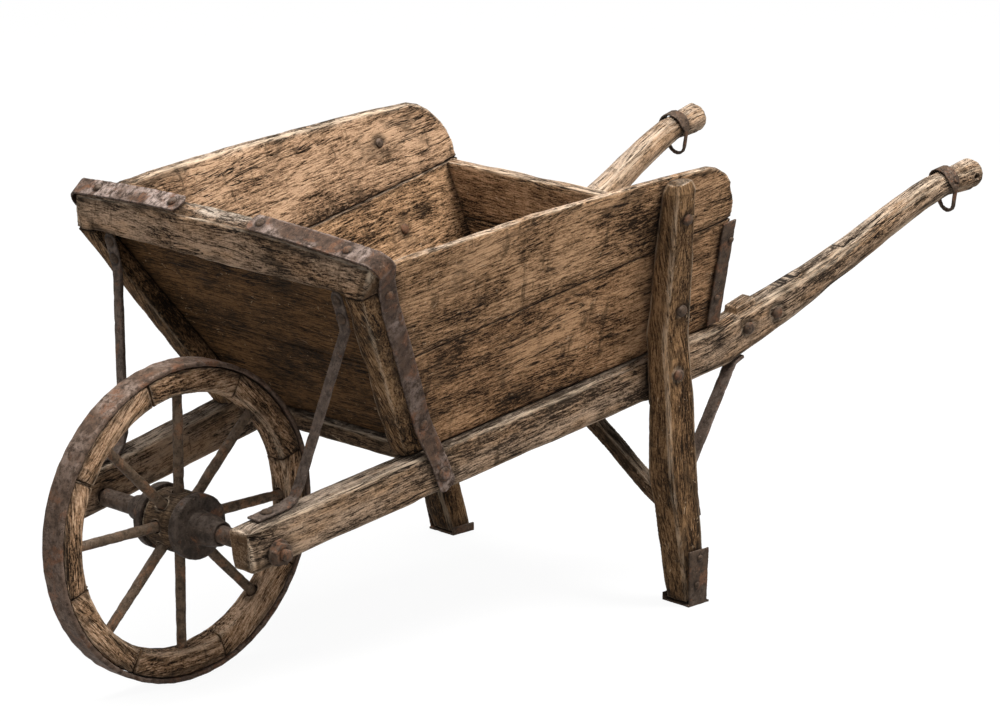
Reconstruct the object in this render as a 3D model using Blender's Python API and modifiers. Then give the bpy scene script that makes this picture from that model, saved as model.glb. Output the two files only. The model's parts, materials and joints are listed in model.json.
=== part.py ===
"""An old wooden wheelbarrow with rusty iron fittings.

The wheel runs on a fixed axle between two long shafts that rise from the axle and curve up into
the handles. The tray, the legs and their stays are square to the shafts, so they are modelled in
the frame of the shafts' top plane (u along the shafts, y across, w up from that plane), which an
empty tilts by the shafts' pitch. The wheel's pieces hang on an empty on the axle. The left side
is at -Y, and each right-hand piece is its left-hand twin mirrored.
"""

import math

import bmesh
import bpy
from mathutils import Matrix, Vector

GAP = 0.0003
# Iron lies this far off the side boards, whose faces twist
TWIST_GAP = 0.0006

# Wheel
WHEEL_R = 0.240
TYRE_THICK = 0.008
TYRE_WIDTH = 0.0429
FELLOE_DEEP = 0.0403
FELLOE_IN = WHEEL_R - TYRE_THICK - FELLOE_DEEP
FELLOE_WIDTH = 0.0405
FELLOE_SLOT = 0.0004
# The felloes' joints lie this far off the middle between two spokes
FELLOE_SHIFT = math.radians(5)
SPOKES = 8
WHEEL_STEPS = 48
SPOKE_R_HUB = 0.0088
SPOKE_R_RIM = 0.0080
SPOKE_TENON = 0.011
NAVE_R = 0.0455
NAVE_HALF = 0.043
BAND_R = 0.0495
BAND_WIDTH = 0.011
HUB_CAP = 0.004
NOSE_R = 0.0255
NOSE_TIP_R = 0.0185
NOSE_END = 0.096
AXLE_R = 0.014
AXLE_RUN = 0.0006
AXLE_END_R = 0.009
NUT_R = 0.0175
NUT_THICK = 0.013

# Shafts
PITCH = math.radians(9.32)
TOP_OVER_AXLE = 0.0474
TOP_PLANE_Z = WHEEL_R + TOP_OVER_AXLE
SHAFT_HIGH = 0.0684
SHAFT_THICK = 0.0468
SHAFT_OUT_Y = 0.21654
SHAFT_SPREAD = 0.0669
SHAFT_FRONT = -0.0508
SHAFT_CORNER = 0.006
HANDLE_END = 1.412

# The curved handle: x from the axle, rise above the straight shaft's centre, half height, half
# width, corner radius and extra distance outward
HANDLE = (
    (0.872, 0.0000, 0.0342, 0.0234, 0.006, 0.0000),
    (0.955, 0.0150, 0.0330, 0.0240, 0.012, 0.0000),
    (1.060, 0.0354, 0.0285, 0.0245, 0.018, 0.0010),
    (1.131, 0.0530, 0.0270, 0.0243, 0.021, 0.0025),
    (1.200, 0.0735, 0.0260, 0.0240, 0.0225, 0.0050),
    (1.260, 0.0912, 0.0250, 0.0238, 0.0230, 0.0080),
    (1.318, 0.1040, 0.0240, 0.0232, 0.0228, 0.0110),
    (1.350, 0.1060, 0.0226, 0.0222, 0.0218, 0.0125),
    (1.376, 0.1060, 0.0258, 0.0256, 0.0250, 0.0136),
    (1.394, 0.1056, 0.0272, 0.0270, 0.0266, 0.0141),
    (1.406, 0.1052, 0.0245, 0.0243, 0.0238, 0.0144),
    (HANDLE_END, 0.1050, 0.0170, 0.0168, 0.0163, 0.0145),
)

# Tray, in the shafts' frame
SIDE_THICK = 0.0215
SIDE_INSET = 0.018
FLARE_FRONT = 0.355
FLARE_REAR = 0.297
FLARE_FRONT_U = 0.13
FLARE_REAR_U = 0.82
FRONT_U = 0.300
FRONT_LEAN = math.radians(24.8)
REAR_U = 0.870
REAR_LEAN = 0.05
SEAM_FRONT_W = 0.173
SEAM_REAR_W = 0.181
TOP_FRONT_W = 0.352
TOP_REAR_W = 0.289
TOP_CROWN = 0.008
TOP_REAR_U = 0.800
REAR_ROUND = 0.085
CAP_END = 0.3915
CAP_CROWN = 0.019
CAP_DEPTH = 0.030
CAP_HEIGHT = 0.047
CAP_OVERHANG = 0.030
CAP_LIFT = 0.008
CAP_STEPS = 10
BOARD_THICK = 0.016
BOARD_EDGE = 0.0015
BATTEN_WIDE = 0.040
BATTEN_FOOT = 0.042
SILL_FRONT_U = 0.288
SILL_REAR_U = 0.342
SILL_HIGH = 0.032
FLOOR_THICK = 0.020
TAIL_U = 0.848
TAIL_THICK = 0.021
TAIL_TOP_W = 0.185
BEARER_HIGH = 0.045
BEARER_HALF = 0.030
REAR_BEARER_HALF = 0.025
BEARER_BEHIND_LEG = 0.006
BEARER_SPACING = 0.1144

# Legs: u of the centre line at the foot and at the top, and the sections from foot to top
FOOT_X = 0.7955
FOOT_Y = 0.2616
FOOT_HALF = 0.0240
FOOT_PLATE = 0.004
LEG_TOP_U = 0.7276
# Bolts through the leg, as w and how far they lie behind its middle
LEG_BOLTS = ((-0.021, -0.004), (0.080, 0.003), (0.233, 0.002))
LEG_BOLT_R = 0.0095
LEG_BOLT_HIGH = 0.0065

# Struts between the legs: their height at the leg, their depth there, and their slope
STRUT_LOW_W = -0.268
STRUT_HIGH = 0.0375
STRUT_HALF = 0.012
STRUT_RISE = 0.80
FOOT_IRON_TOP = 0.094

# Flat iron
STRAP_WIDE = 0.0315
STRAP_THICK = 0.004
STRAP_BEND = 0.022
BEND_STEPS = 6
STRAP_START_Y = 0.076
STRAP_SETBACK = 0.0015
# The strap's ends are rounded over this length, and narrower by twice this at the very end
TIP_LONG = 0.006
TIP_INSET = 0.0075
# Down the side: how far up the front edge, and how far the strap runs ahead of its line there
STRAP_FALL = (
    (0.345, 0.004),
    (0.300, 0.009),
    (0.200, 0.012),
    (0.120, 0.016),
    (0.055, 0.020),
    (-0.010, 0.028),
    (-0.054, 0.036),
)
# Rivets on the strap's top, as y, and on its side, as how far up the front edge; then its bolt
STRAP_TOP_RIVETS = (0.097, 0.275)
STRAP_SIDE_RIVETS = (0.328, 0.058)
STRAP_BOLT_UP = -0.034
RIVET_R = 0.0065
RIVET_HIGH = 0.0035
STRAP_BOLT_R = 0.010
STRAP_BOLT_HIGH = 0.006
BRACE_WIDE = 0.018
BRACE_THICK = 0.008
BRACE_THIN = 0.005
BRACE_KNEE_U = 0.1465
BRACE_KNEE_Y = 0.2513
BRACE_KNEE_W = 0.246
BRACE_TAB_Y = 0.250
BRACE_TAB_BOLTS = (0.35, 0.80)
BRACE_BOLT_U = 0.004
BRACE_BOLT_Y = 0.189
# Leg stays: where their pads meet the shafts' undersides, x behind the axle
STAY_PAD_X = 0.900
STAY_BEND_X = 0.880
STAY_HALF = 0.012
STAY_THICK = 0.006
LOOP_X = 1.344
LOOP_BAND = 0.022
LOOP_R = 0.0135
LOOP_DROP = 0.030
LOOP_THICK = 0.0052
LOOP_HALF = 0.0035
LOOP_BAND_THICK = 0.0035

# Bolts through the shafts behind the tray, as x behind the axle and height above the shaft's
# middle, and a cleat on the shafts' top there
SHAFT_BOLTS = ((0.912, 0.007), (0.971, 0.001))
SHAFT_BOLT_R = 0.011
SHAFT_BOLT_HIGH = 0.007
CLEAT_START = 0.895
CLEAT_LONG = 0.040
CLEAT_HIGH = 0.012
CLEAT_WIDE = 0.030
KNOB_HOLE_X = 1.390
KNOB_HOLE_R = 0.0035

# The tilted end face of the handle reaches a little past HANDLE_END, and the whole is centred
END_SLOPE = math.tan(PITCH) + (HANDLE[-1][1] - HANDLE[-2][1]) / (HANDLE[-1][0] - HANDLE[-2][0])
HANDLE_REACH = HANDLE_END + HANDLE[-1][2] * math.sin(math.atan(END_SLOPE))
AXLE_X = (WHEEL_R - HANDLE_REACH) / 2
# How far up the front edge the pieces under the cap rail end
CAP_LOW = CAP_END - CAP_HEIGHT - GAP

OAK = (0.225, 0.130, 0.068)
OAK_DARK = (0.120, 0.070, 0.040)
IRON = (0.085, 0.058, 0.048)


def clear_scene():
    for obj in list(bpy.data.objects):
        bpy.data.objects.remove(obj, do_unlink=True)


def new_collection(name):
    made = bpy.data.collections.new(name)
    bpy.context.scene.collection.children.link(made)
    return made


clear_scene()
PARTS = new_collection("wheelbarrow")
CUTTERS = new_collection("cutters")


def new_empty(name, place, turn=0.0):
    empty = bpy.data.objects.new(name, None)
    empty.empty_display_size = 0.05
    empty.location = place
    empty.rotation_euler = (0.0, turn, 0.0)
    PARTS.objects.link(empty)
    return empty


WHEEL_AXIS = new_empty("wheel_axis", (AXLE_X, 0.0, WHEEL_R))
TOP_PLANE = new_empty("shaft_top_plane", (AXLE_X, 0.0, TOP_PLANE_Z), -PITCH)


def material(name, colour, roughness, metallic):
    made = bpy.data.materials.new(name)
    made.use_nodes = True
    shader = made.node_tree.nodes["Principled BSDF"]
    shader.inputs["Base Color"].default_value = (*colour, 1.0)
    shader.inputs["Roughness"].default_value = roughness
    shader.inputs["Metallic"].default_value = metallic
    made.diffuse_color = (*colour, 1.0)
    return made


def add_object(name, mesh, parent, colour=None):
    obj = bpy.data.objects.new(name, mesh)
    if parent:
        obj.parent = parent
    if colour is None:
        CUTTERS.objects.link(obj)
        obj.hide_render = True
        obj.display_type = "WIRE"
    else:
        PARTS.objects.link(obj)
        obj.data.materials.clear()
        rough, metallic = (0.6, 0.7) if colour is IRON else (0.8, 0.0)
        obj.data.materials.append(material(name, colour, rough, metallic))
    return obj


def mesh_from(bm):
    bmesh.ops.recalc_face_normals(bm, faces=bm.faces)
    mesh = bpy.data.meshes.new("shape")
    bm.to_mesh(mesh)
    bm.free()
    return mesh


def loft(rings, around=False):
    """A closed mesh through rings of equally many points, capped unless the rings close on themselves."""
    bm = bmesh.new()
    rows = [[bm.verts.new(point) for point in ring] for ring in rings]
    pairs = list(zip(rows, rows[1:]))
    if around:
        pairs.append((rows[-1], rows[0]))
    for first, second in pairs:
        count = len(first)
        for i in range(count):
            j = (i + 1) % count
            bm.faces.new((first[i], first[j], second[j], second[i]))
    if not around:
        bm.faces.new(rows[0])
        bm.faces.new(list(reversed(rows[-1])))
    return mesh_from(bm)


def bake(obj):
    """Applies the object's modifiers and turns its faces outward."""
    bpy.context.view_layer.update()
    graph = bpy.context.evaluated_depsgraph_get()
    mesh = bpy.data.meshes.new_from_object(obj.evaluated_get(graph))
    bm = bmesh.new()
    bm.from_mesh(mesh)
    bmesh.ops.remove_doubles(bm, verts=bm.verts, dist=1e-6)
    bmesh.ops.recalc_face_normals(bm, faces=bm.faces)
    bm.to_mesh(mesh)
    bm.free()
    obj.modifiers.clear()
    obj.data = mesh
    return obj


def bevel(obj, width):
    """Breaks the sharp edges."""
    made = obj.modifiers.new("edges", "BEVEL")
    made.width = width
    made.segments = 1
    made.limit_method = "ANGLE"
    made.angle_limit = math.radians(40)
    return bake(obj)


def combine(obj, other, operation):
    made = obj.modifiers.new(operation.lower(), "BOOLEAN")
    made.operation = operation
    made.object = other
    made.solver = "EXACT"
    bake(obj)
    bpy.data.objects.remove(other, do_unlink=True)
    return obj


def turned(name, profile, steps, parent, colour=None):
    """A closed profile of (radius, y) turned about the Y axis."""
    bm = bmesh.new()
    row = [bm.verts.new((radius, y, 0.0)) for radius, y in profile]
    for i, vert in enumerate(row):
        bm.edges.new((vert, row[(i + 1) % len(row)]))
    mesh = bpy.data.meshes.new(name)
    bm.to_mesh(mesh)
    bm.free()
    obj = add_object(name, mesh, parent, colour)
    screw = obj.modifiers.new("turn", "SCREW")
    screw.axis = "Y"
    screw.steps = steps
    screw.render_steps = steps
    screw.use_merge_vertices = True
    screw.merge_threshold = 0.0001
    return bake(obj)


def rod(start, end, start_r, end_r, sides):
    """A round bar between two points, as a mesh."""
    start = Vector(start)
    end = Vector(end)
    along = (end - start).normalized()
    side = along.orthogonal().normalized()
    other = along.cross(side)
    rings = []
    for centre, radius in ((start, start_r), (end, end_r)):
        turns = [2 * math.pi * i / sides for i in range(sides)]
        rings.append([centre + radius * (math.cos(t) * side + math.sin(t) * other) for t in turns])
    return loft(rings)


def stud(at, facing, radius, high, sides=10):
    """A domed bolt or rivet head, with its foot sunk into the piece that it sits on."""
    at = Vector(at)
    facing = Vector(facing).normalized()
    side = facing.orthogonal().normalized()
    other = facing.cross(side)
    sunk = 0.0008
    rings = []
    for lift, share in ((-sunk, 1.0), (0.25 * high, 1.0), (0.75 * high, 0.78), (high, 0.35)):
        centre = at + lift * facing
        turns = [2 * math.pi * i / sides for i in range(sides)]
        rings.append(
            [centre + share * radius * (math.cos(t) * side + math.sin(t) * other) for t in turns]
        )
    return loft(rings)


def joined(meshes):
    bm = bmesh.new()
    for mesh in meshes:
        bm.from_mesh(mesh)
    made = bpy.data.meshes.new("joined")
    bm.to_mesh(made)
    bm.free()
    return made


def fuse(obj, meshes):
    """Joins other shapes to the object, one body in the end."""
    return combine(obj, add_object("fused", joined(meshes), obj.parent), "UNION")


def cut(obj, meshes):
    return combine(obj, add_object("cutter", joined(meshes), obj.parent), "DIFFERENCE")


def twin(obj):
    """The right-hand copy of a left-hand piece."""
    mesh = obj.data.copy()
    mesh.transform(Matrix.Scale(-1.0, 4, (0.0, 1.0, 0.0)))
    mesh.flip_normals()
    made = bpy.data.objects.new(obj.name.replace("left", "right"), mesh)
    made.parent = obj.parent
    PARTS.objects.link(made)
    mesh.materials[0] = obj.active_material.copy()
    mesh.materials[0].name = made.name
    return made


def lerp(a, b, t):
    return a + (b - a) * t


# The shafts' frame

def to_local(x, z):
    """(u, w) of a point x behind the axle and z above the ground."""
    lift = z - TOP_PLANE_Z
    return (
        x * math.cos(PITCH) + lift * math.sin(PITCH),
        -x * math.sin(PITCH) + lift * math.cos(PITCH),
    )


def shaft_out(u):
    """Distance of the shafts' outer faces from the middle."""
    return SHAFT_OUT_Y + SHAFT_SPREAD * u


def shaft_in(u):
    return shaft_out(u) - SHAFT_THICK


def side_out(u, w):
    """Outer face of the flared side boards, which twist a little towards the tail."""
    flare = lerp(FLARE_FRONT, FLARE_REAR, (u - FLARE_FRONT_U) / (FLARE_REAR_U - FLARE_FRONT_U))
    return shaft_out(u) - SIDE_INSET + flare * w


def side_in(u, w):
    return side_out(u, w) - SIDE_THICK


def front(back, up):
    """(u, w) of a point measured back from the tray's leaning front edge and up along it."""
    return (
        FRONT_U + back * math.cos(FRONT_LEAN) - up * math.sin(FRONT_LEAN),
        back * math.sin(FRONT_LEAN) + up * math.cos(FRONT_LEAN),
    )


def front_u(w):
    return FRONT_U - w * math.tan(FRONT_LEAN)


def rear_u(w):
    return REAR_U + REAR_LEAN * w


def up_to(back, w):
    """How far up the front edge a plane at height w is met, back behind the edge."""
    return (w - back * math.sin(FRONT_LEAN)) / math.cos(FRONT_LEAN)


# Wheel

def felloe_sector(spoke_turn):
    """A wedge that keeps one felloe of a whole ring, half a slot short of each joint."""
    reach = 1.3 * WHEEL_R
    shift = FELLOE_SLOT / 2
    outline = [(shift / math.sin(spoke_turn / 2), 0.0)]
    for side in (-1, 1):
        angle = side * spoke_turn / 2
        outline.append(
            (
                reach * math.cos(angle) + side * shift * math.sin(angle),
                reach * math.sin(angle) - side * shift * math.cos(angle),
            )
        )
    wedge = loft([[Vector((x, y, z)) for x, z in outline] for y in (-FELLOE_WIDTH, FELLOE_WIDTH)])
    wedge.transform(Matrix.Rotation(FELLOE_SHIFT, 4, "Y"))
    return wedge


def make_wheel():
    half = TYRE_WIDTH / 2
    inner = WHEEL_R - TYRE_THICK
    worn = 0.0025
    turned(
        "tyre",
        (
            (WHEEL_R, half - worn),
            (WHEEL_R, -half + worn),
            (WHEEL_R - worn, -half),
            (inner, -half),
            (inner, half),
            (WHEEL_R - worn, half),
        ),
        WHEEL_STEPS,
        WHEEL_AXIS,
        IRON,
    )
    spoke_turn = 2 * math.pi / SPOKES
    outer = inner - GAP
    half = FELLOE_WIDTH / 2
    worn = 0.004
    for i in range(SPOKES):
        turn = i * spoke_turn
        ring = turned(
            f"felloe_{i + 1}",
            (
                (outer, half),
                (outer, -half),
                (FELLOE_IN + worn, -half),
                (FELLOE_IN, -half + worn),
                (FELLOE_IN, half - worn),
                (FELLOE_IN + worn, half),
            ),
            WHEEL_STEPS,
            WHEEL_AXIS,
            OAK,
        )
        combine(ring, add_object("sector", felloe_sector(spoke_turn), WHEEL_AXIS), "INTERSECT")
        socket = rod(
            (FELLOE_IN - 0.01, 0, 0),
            (FELLOE_IN + SPOKE_TENON + GAP, 0, 0),
            SPOKE_R_RIM + GAP,
            SPOKE_R_RIM + GAP,
            12,
        )
        cut(ring, [socket])
        ring.rotation_euler = (0.0, -turn, 0.0)
        start = NAVE_R - SPOKE_TENON
        spoke = rod((start, 0, 0), (FELLOE_IN + SPOKE_TENON, 0, 0), SPOKE_R_HUB, SPOKE_R_RIM, 12)
        made = add_object(f"spoke_{i + 1}", spoke, WHEEL_AXIS, IRON)
        made.rotation_euler = (0.0, -turn, 0.0)
    bore = AXLE_R + AXLE_RUN
    land = NAVE_R - 0.003
    nave = turned(
        "hub",
        (
            (land, NAVE_HALF),
            (land, NAVE_HALF - BAND_WIDTH - GAP),
            (NAVE_R, NAVE_HALF - BAND_WIDTH - GAP),
            (NAVE_R + 0.0015, 0.0),
            (NAVE_R, -NAVE_HALF + BAND_WIDTH + GAP),
            (land, -NAVE_HALF + BAND_WIDTH + GAP),
            (land, -NAVE_HALF),
            (bore, -NAVE_HALF),
            (bore, NAVE_HALF),
        ),
        32,
        WHEEL_AXIS,
        OAK_DARK,
    )
    sockets = []
    for i in range(SPOKES):
        angle = i * spoke_turn
        ray = Vector((math.cos(angle), 0.0, math.sin(angle)))
        inner_end = (NAVE_R - SPOKE_TENON - GAP) * ray
        sockets.append(rod(inner_end, (NAVE_R + 0.02) * ray, SPOKE_R_HUB + GAP, SPOKE_R_HUB + GAP, 12))
    cut(nave, sockets)
    face = NAVE_HALF + GAP
    iron = turned(
        "hub_iron_left",
        (
            (BAND_R, -NAVE_HALF + BAND_WIDTH),
            (BAND_R, -face - HUB_CAP + 0.0015),
            (BAND_R - 0.0015, -face - HUB_CAP),
            (NOSE_R, -face - HUB_CAP),
            (NOSE_R - 0.002, -NOSE_END + 0.022),
            (NOSE_TIP_R, -NOSE_END),
            (bore, -NOSE_END),
            (bore, -face),
            (land + GAP, -face),
            (land + GAP, -NAVE_HALF + BAND_WIDTH),
        ),
        32,
        WHEEL_AXIS,
        IRON,
    )
    twin(iron)


def make_axle():
    shoulder = shaft_in(to_local(0.0, WHEEL_R)[0]) - 0.0030
    end = shaft_out(to_local(0.0, WHEEL_R)[0]) + NUT_THICK + 0.011
    turned(
        "axle",
        (
            (AXLE_END_R - 0.002, end),
            (AXLE_END_R, end - 0.003),
            (AXLE_END_R, shoulder),
            (AXLE_R, shoulder),
            (AXLE_R, -shoulder),
            (AXLE_END_R, -shoulder),
            (AXLE_END_R, -end + 0.003),
            (AXLE_END_R - 0.002, -end),
        ),
        24,
        WHEEL_AXIS,
        IRON,
    )


def make_nut():
    """A washer and a six-sided nut on the axle's end, with the washer bent to the shaft's spread."""
    face = shaft_out(to_local(0.0, WHEEL_R)[0])
    seat = face + SHAFT_SPREAD * 0.021 + GAP
    washer = rod((0, -seat, 0), (0, -seat - 0.0035, 0), 0.0210, 0.0200, 16)
    nut = rod((0, -seat - 0.003, 0), (0, -seat - NUT_THICK, 0), NUT_R, NUT_R, 6)
    obj = add_object("axle_nut_left", washer, WHEEL_AXIS, IRON)
    fuse(obj, [nut])
    hole = rod((0, -seat + 0.01, 0), (0, -seat - 0.03, 0), AXLE_END_R + GAP, AXLE_END_R + GAP, 24)
    cut(obj, [hole])
    twin(obj)


# Shafts

def shaft_section(half_high, half_wide, corner):
    """A rounded rectangle of 16 points, as (across, up) pairs."""
    points = []
    for quarter in range(4):
        sign_y = 1 if quarter in (0, 3) else -1
        sign_z = 1 if quarter in (0, 1) else -1
        for step in range(4):
            angle = math.radians(90 * quarter + 30 * step)
            points.append(
                (
                    sign_y * (half_wide - corner) + corner * math.cos(angle),
                    sign_z * (half_high - corner) + corner * math.sin(angle),
                )
            )
    return points


def straight_centre(x):
    """Height of the straight shaft's centre line x behind the axle."""
    return TOP_PLANE_Z + x * math.tan(PITCH) - SHAFT_HIGH / 2 / math.cos(PITCH)


def handle_at(x):
    """The handle's row of numbers at x, on a smooth curve through those of HANDLE."""
    rows = HANDLE
    i = max(k for k in range(len(rows) - 1) if rows[k][0] <= x)
    before = rows[max(i - 1, 0)]
    a, b = rows[i], rows[i + 1]
    after = rows[min(i + 2, len(rows) - 1)]
    t = (x - a[0]) / (b[0] - a[0])
    made = []
    for k in range(1, 6):
        slope_a = (b[k] - before[k]) / (b[0] - before[0]) * (b[0] - a[0])
        slope_b = (after[k] - a[k]) / (after[0] - a[0]) * (b[0] - a[0])
        made.append(
            (2 * t**3 - 3 * t**2 + 1) * a[k]
            + (t**3 - 2 * t**2 + t) * slope_a
            + (3 * t**2 - 2 * t**3) * b[k]
            + (t**3 - t**2) * slope_b
        )
    return made


def shaft_centre(x):
    """Centre line of the left shaft as (x, y, z), x behind the axle."""
    outward = 0.0
    rise = 0.0
    if x > HANDLE[0][0]:
        rise, _, _, _, outward = handle_at(x)
    along = (x - SHAFT_HIGH / 2 * math.sin(PITCH)) / math.cos(PITCH)
    y = shaft_out(along) - SHAFT_THICK / 2
    return Vector((x, -y - outward, straight_centre(x) + rise))


def shaft_ring(x, half_high, half_wide, corner):
    step = 0.002
    ahead = min(x + step, HANDLE_END)
    along = shaft_centre(ahead) - shaft_centre(x - step)
    across = Vector((0.0, 1.0, 0.0))
    up = Vector((-along.z, 0.0, along.x)).normalized()
    ring = []
    for side, lift in shaft_section(half_high, half_wide, corner):
        ring.append(shaft_centre(x) + up * lift + across * side)
    return ring


def cleat_ring(x):
    """Section of the small cleat on the shaft's top, with its foot sunk into the wood."""
    centre = shaft_centre(x)
    high = handle_at(x)[1]
    ring = []
    for side, lift in ((-1, -0.004), (1, -0.004), (1, CLEAT_HIGH), (-1, CLEAT_HIGH)):
        place = Vector((AXLE_X, side * CLEAT_WIDE / 2, high + lift))
        ring.append(centre + place)
    return ring


def make_shaft():
    half = (SHAFT_HIGH / 2, SHAFT_THICK / 2)
    rings = [
        shaft_ring(SHAFT_FRONT, half[0] - 0.004, half[1] - 0.004, SHAFT_CORNER - 0.001),
        shaft_ring(SHAFT_FRONT + 0.006, *half, SHAFT_CORNER),
        shaft_ring(HANDLE[0][0], *half, SHAFT_CORNER),
    ]
    for i in range(len(HANDLE) - 1):
        start, end = HANDLE[i][0], HANDLE[i + 1][0]
        steps = 3 if end - start > 0.08 else 2 if end - start > 0.03 else 1
        for k in range(1, steps + 1):
            x = lerp(start, end, k / steps)
            if k < steps:
                _, high, wide, corner, _ = handle_at(x)
            else:
                _, _, high, wide, corner, _ = HANDLE[i + 1]
            rings.append(shaft_ring(x, high, wide, min(corner, high, wide) - 0.0001))
    for ring in rings:
        for point in ring:
            point.x += AXLE_X
    obj = add_object("shaft_left", loft(rings), None, OAK)
    out = shaft_out(0.0)
    bore = rod(
        (AXLE_X, -out - 0.05, WHEEL_R),
        (AXLE_X, -out + 0.10, WHEEL_R),
        AXLE_END_R + GAP,
        AXLE_END_R + GAP,
        24,
    )
    cut(obj, [bore])
    heads = []
    for x, above in SHAFT_BOLTS:
        middle = shaft_centre(x)
        place = (x + AXLE_X, middle.y - handle_at(x)[2], middle.z + above)
        heads.append(stud(place, (0.0, -1.0, 0.0), SHAFT_BOLT_R, SHAFT_BOLT_HIGH))
    fuse(obj, heads)
    fuse(obj, [loft([cleat_ring(CLEAT_START), cleat_ring(CLEAT_START + CLEAT_LONG)])])
    twin(obj)
    centre = shaft_centre(KNOB_HOLE_X) + Vector((AXLE_X, 0.0, 0.0))
    outside = centre - Vector((0.0, 0.05, 0.0))
    cut(obj, [rod(outside, centre - Vector((0.0, 0.008, 0.0)), KNOB_HOLE_R, KNOB_HOLE_R, 10)])


# Tray

def sheared_board(name, rings, colour):
    """A board through rings of four corners, with its edges broken."""
    return bevel(add_object(name, loft(rings), TOP_PLANE, colour), BOARD_EDGE)


def cross_beam(name, start_u, end_u, low_w):
    """A beam between the shafts' inner faces, flush with their top plane."""
    rings = []
    for side in (-1, 1):
        rings.append(
            [
                Vector((u, side * (shaft_in(u) - GAP), w))
                for u, w in ((start_u, low_w), (end_u, low_w), (end_u, -GAP), (start_u, -GAP))
            ]
        )
    return sheared_board(name, rings, OAK_DARK)


def make_beams():
    cross_beam("front_sill", SILL_FRONT_U, SILL_REAR_U, -SILL_HIGH)
    middle = LEG_TOP_U + BEARER_BEHIND_LEG
    rear = middle + BEARER_SPACING
    low = -GAP - BEARER_HIGH
    cross_beam("middle_bearer", middle - BEARER_HALF, middle + BEARER_HALF, low)
    cross_beam("rear_bearer", rear - REAR_BEARER_HALF, rear + REAR_BEARER_HALF, low)


def make_floor():
    """Three long boards from the front board to the tail board, resting on the shafts."""
    count = 3
    back = BOARD_THICK
    for i in range(count):
        rings = []
        for at_front in (True, False):
            ring = []
            for share, w in (
                (i / count, GAP),
                ((i + 1) / count, GAP),
                ((i + 1) / count, FLOOR_THICK),
                (i / count, FLOOR_THICK),
            ):
                u = front(back + GAP, up_to(back + GAP, w))[0] if at_front else TAIL_U - GAP
                reach = side_in(u, GAP) - GAP
                y = lerp(-reach, reach, share)
                if 0 < share < 1:
                    y += GAP / 2 if share == i / count else -GAP / 2
                ring.append(Vector((u, y, w)))
            rings.append(ring)
        sheared_board(f"floor_board_{i + 1}", rings, OAK)


def top_edge_w(u):
    """Height of the side boards' top edge before its rounded rear corner."""
    start = front(0.0, CAP_END)[0]
    share = (u - start) / (TOP_REAR_U - start)
    return lerp(TOP_FRONT_W, TOP_REAR_W, share) + 4 * TOP_CROWN * share * (1 - share)


def side_ring(bottom, top):
    """Four corners of a side board's section, from (u, w) below and above."""
    ring = []
    for (u, w), face in ((bottom, side_out), (top, side_out), (top, side_in), (bottom, side_in)):
        ring.append(Vector((u, -face(u, w), w)))
    return ring


def seam_w(share):
    return lerp(SEAM_FRONT_W, SEAM_REAR_W, share)


def make_sides():
    steps = 8
    rings = []
    for i in range(steps + 1):
        share = i / steps
        low = (lerp(front_u(GAP), rear_u(GAP), share), GAP)
        seam = seam_w(share) - GAP / 2
        high = (lerp(front_u(seam), rear_u(seam), share), seam)
        rings.append(side_ring(low, high))
    lower = add_object("side_lower_left", loft(rings), TOP_PLANE, OAK)
    bevel(lower, BOARD_EDGE)
    twin(lower)
    # The upper board's top edge ends in a quarter round at the tail.
    corner_w = top_edge_w(TOP_REAR_U + 0.02) - REAR_ROUND
    edge_u = rear_u(corner_w)
    tops = []
    top_start = front_u(TOP_FRONT_W)
    arc_start = edge_u - REAR_ROUND
    for i in range(7):
        u = lerp(top_start, arc_start, i / 6)
        tops.append((u, top_edge_w(u)))
    arc_top = top_edge_w(arc_start)
    for i in range(1, 7):
        angle = math.radians(90 * i / 6)
        tops.append(
            (
                arc_start + REAR_ROUND * math.sin(angle),
                lerp(corner_w, arc_top, math.cos(angle)),
            )
        )
    rings = []
    for u, w in tops:
        share = (u - top_start) / (tops[-1][0] - top_start)
        seam = seam_w(share) + GAP / 2
        low = (lerp(front_u(seam), rear_u(seam), share), seam)
        rings.append(side_ring(low, (u, w)))
    upper = add_object("side_upper_left", loft(rings), TOP_PLANE, OAK)
    notch = []
    for y in (-0.45, 0.0):
        ring = []
        for back, up in (
            (-0.05, CAP_LOW),
            (CAP_DEPTH + GAP, CAP_LOW),
            (CAP_DEPTH + GAP, CAP_END + 0.1),
            (-0.05, CAP_END + 0.1),
        ):
            u, w = front(back, up)
            ring.append(Vector((u, y, w)))
        notch.append(ring)
    bevel(upper, BOARD_EDGE)
    cut(upper, [loft(notch)])
    twin(upper)


def cap_top(y):
    """How far up the front edge the crowned cap rail's top is, y from the middle."""
    return CAP_END + CAP_CROWN * (1 - (y / 0.33) ** 2)


def cap_turn_y():
    """How far from the middle the cap rail's ends start to turn down."""
    return side_out(*front(0.0, CAP_END)) - STRAP_BEND


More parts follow.
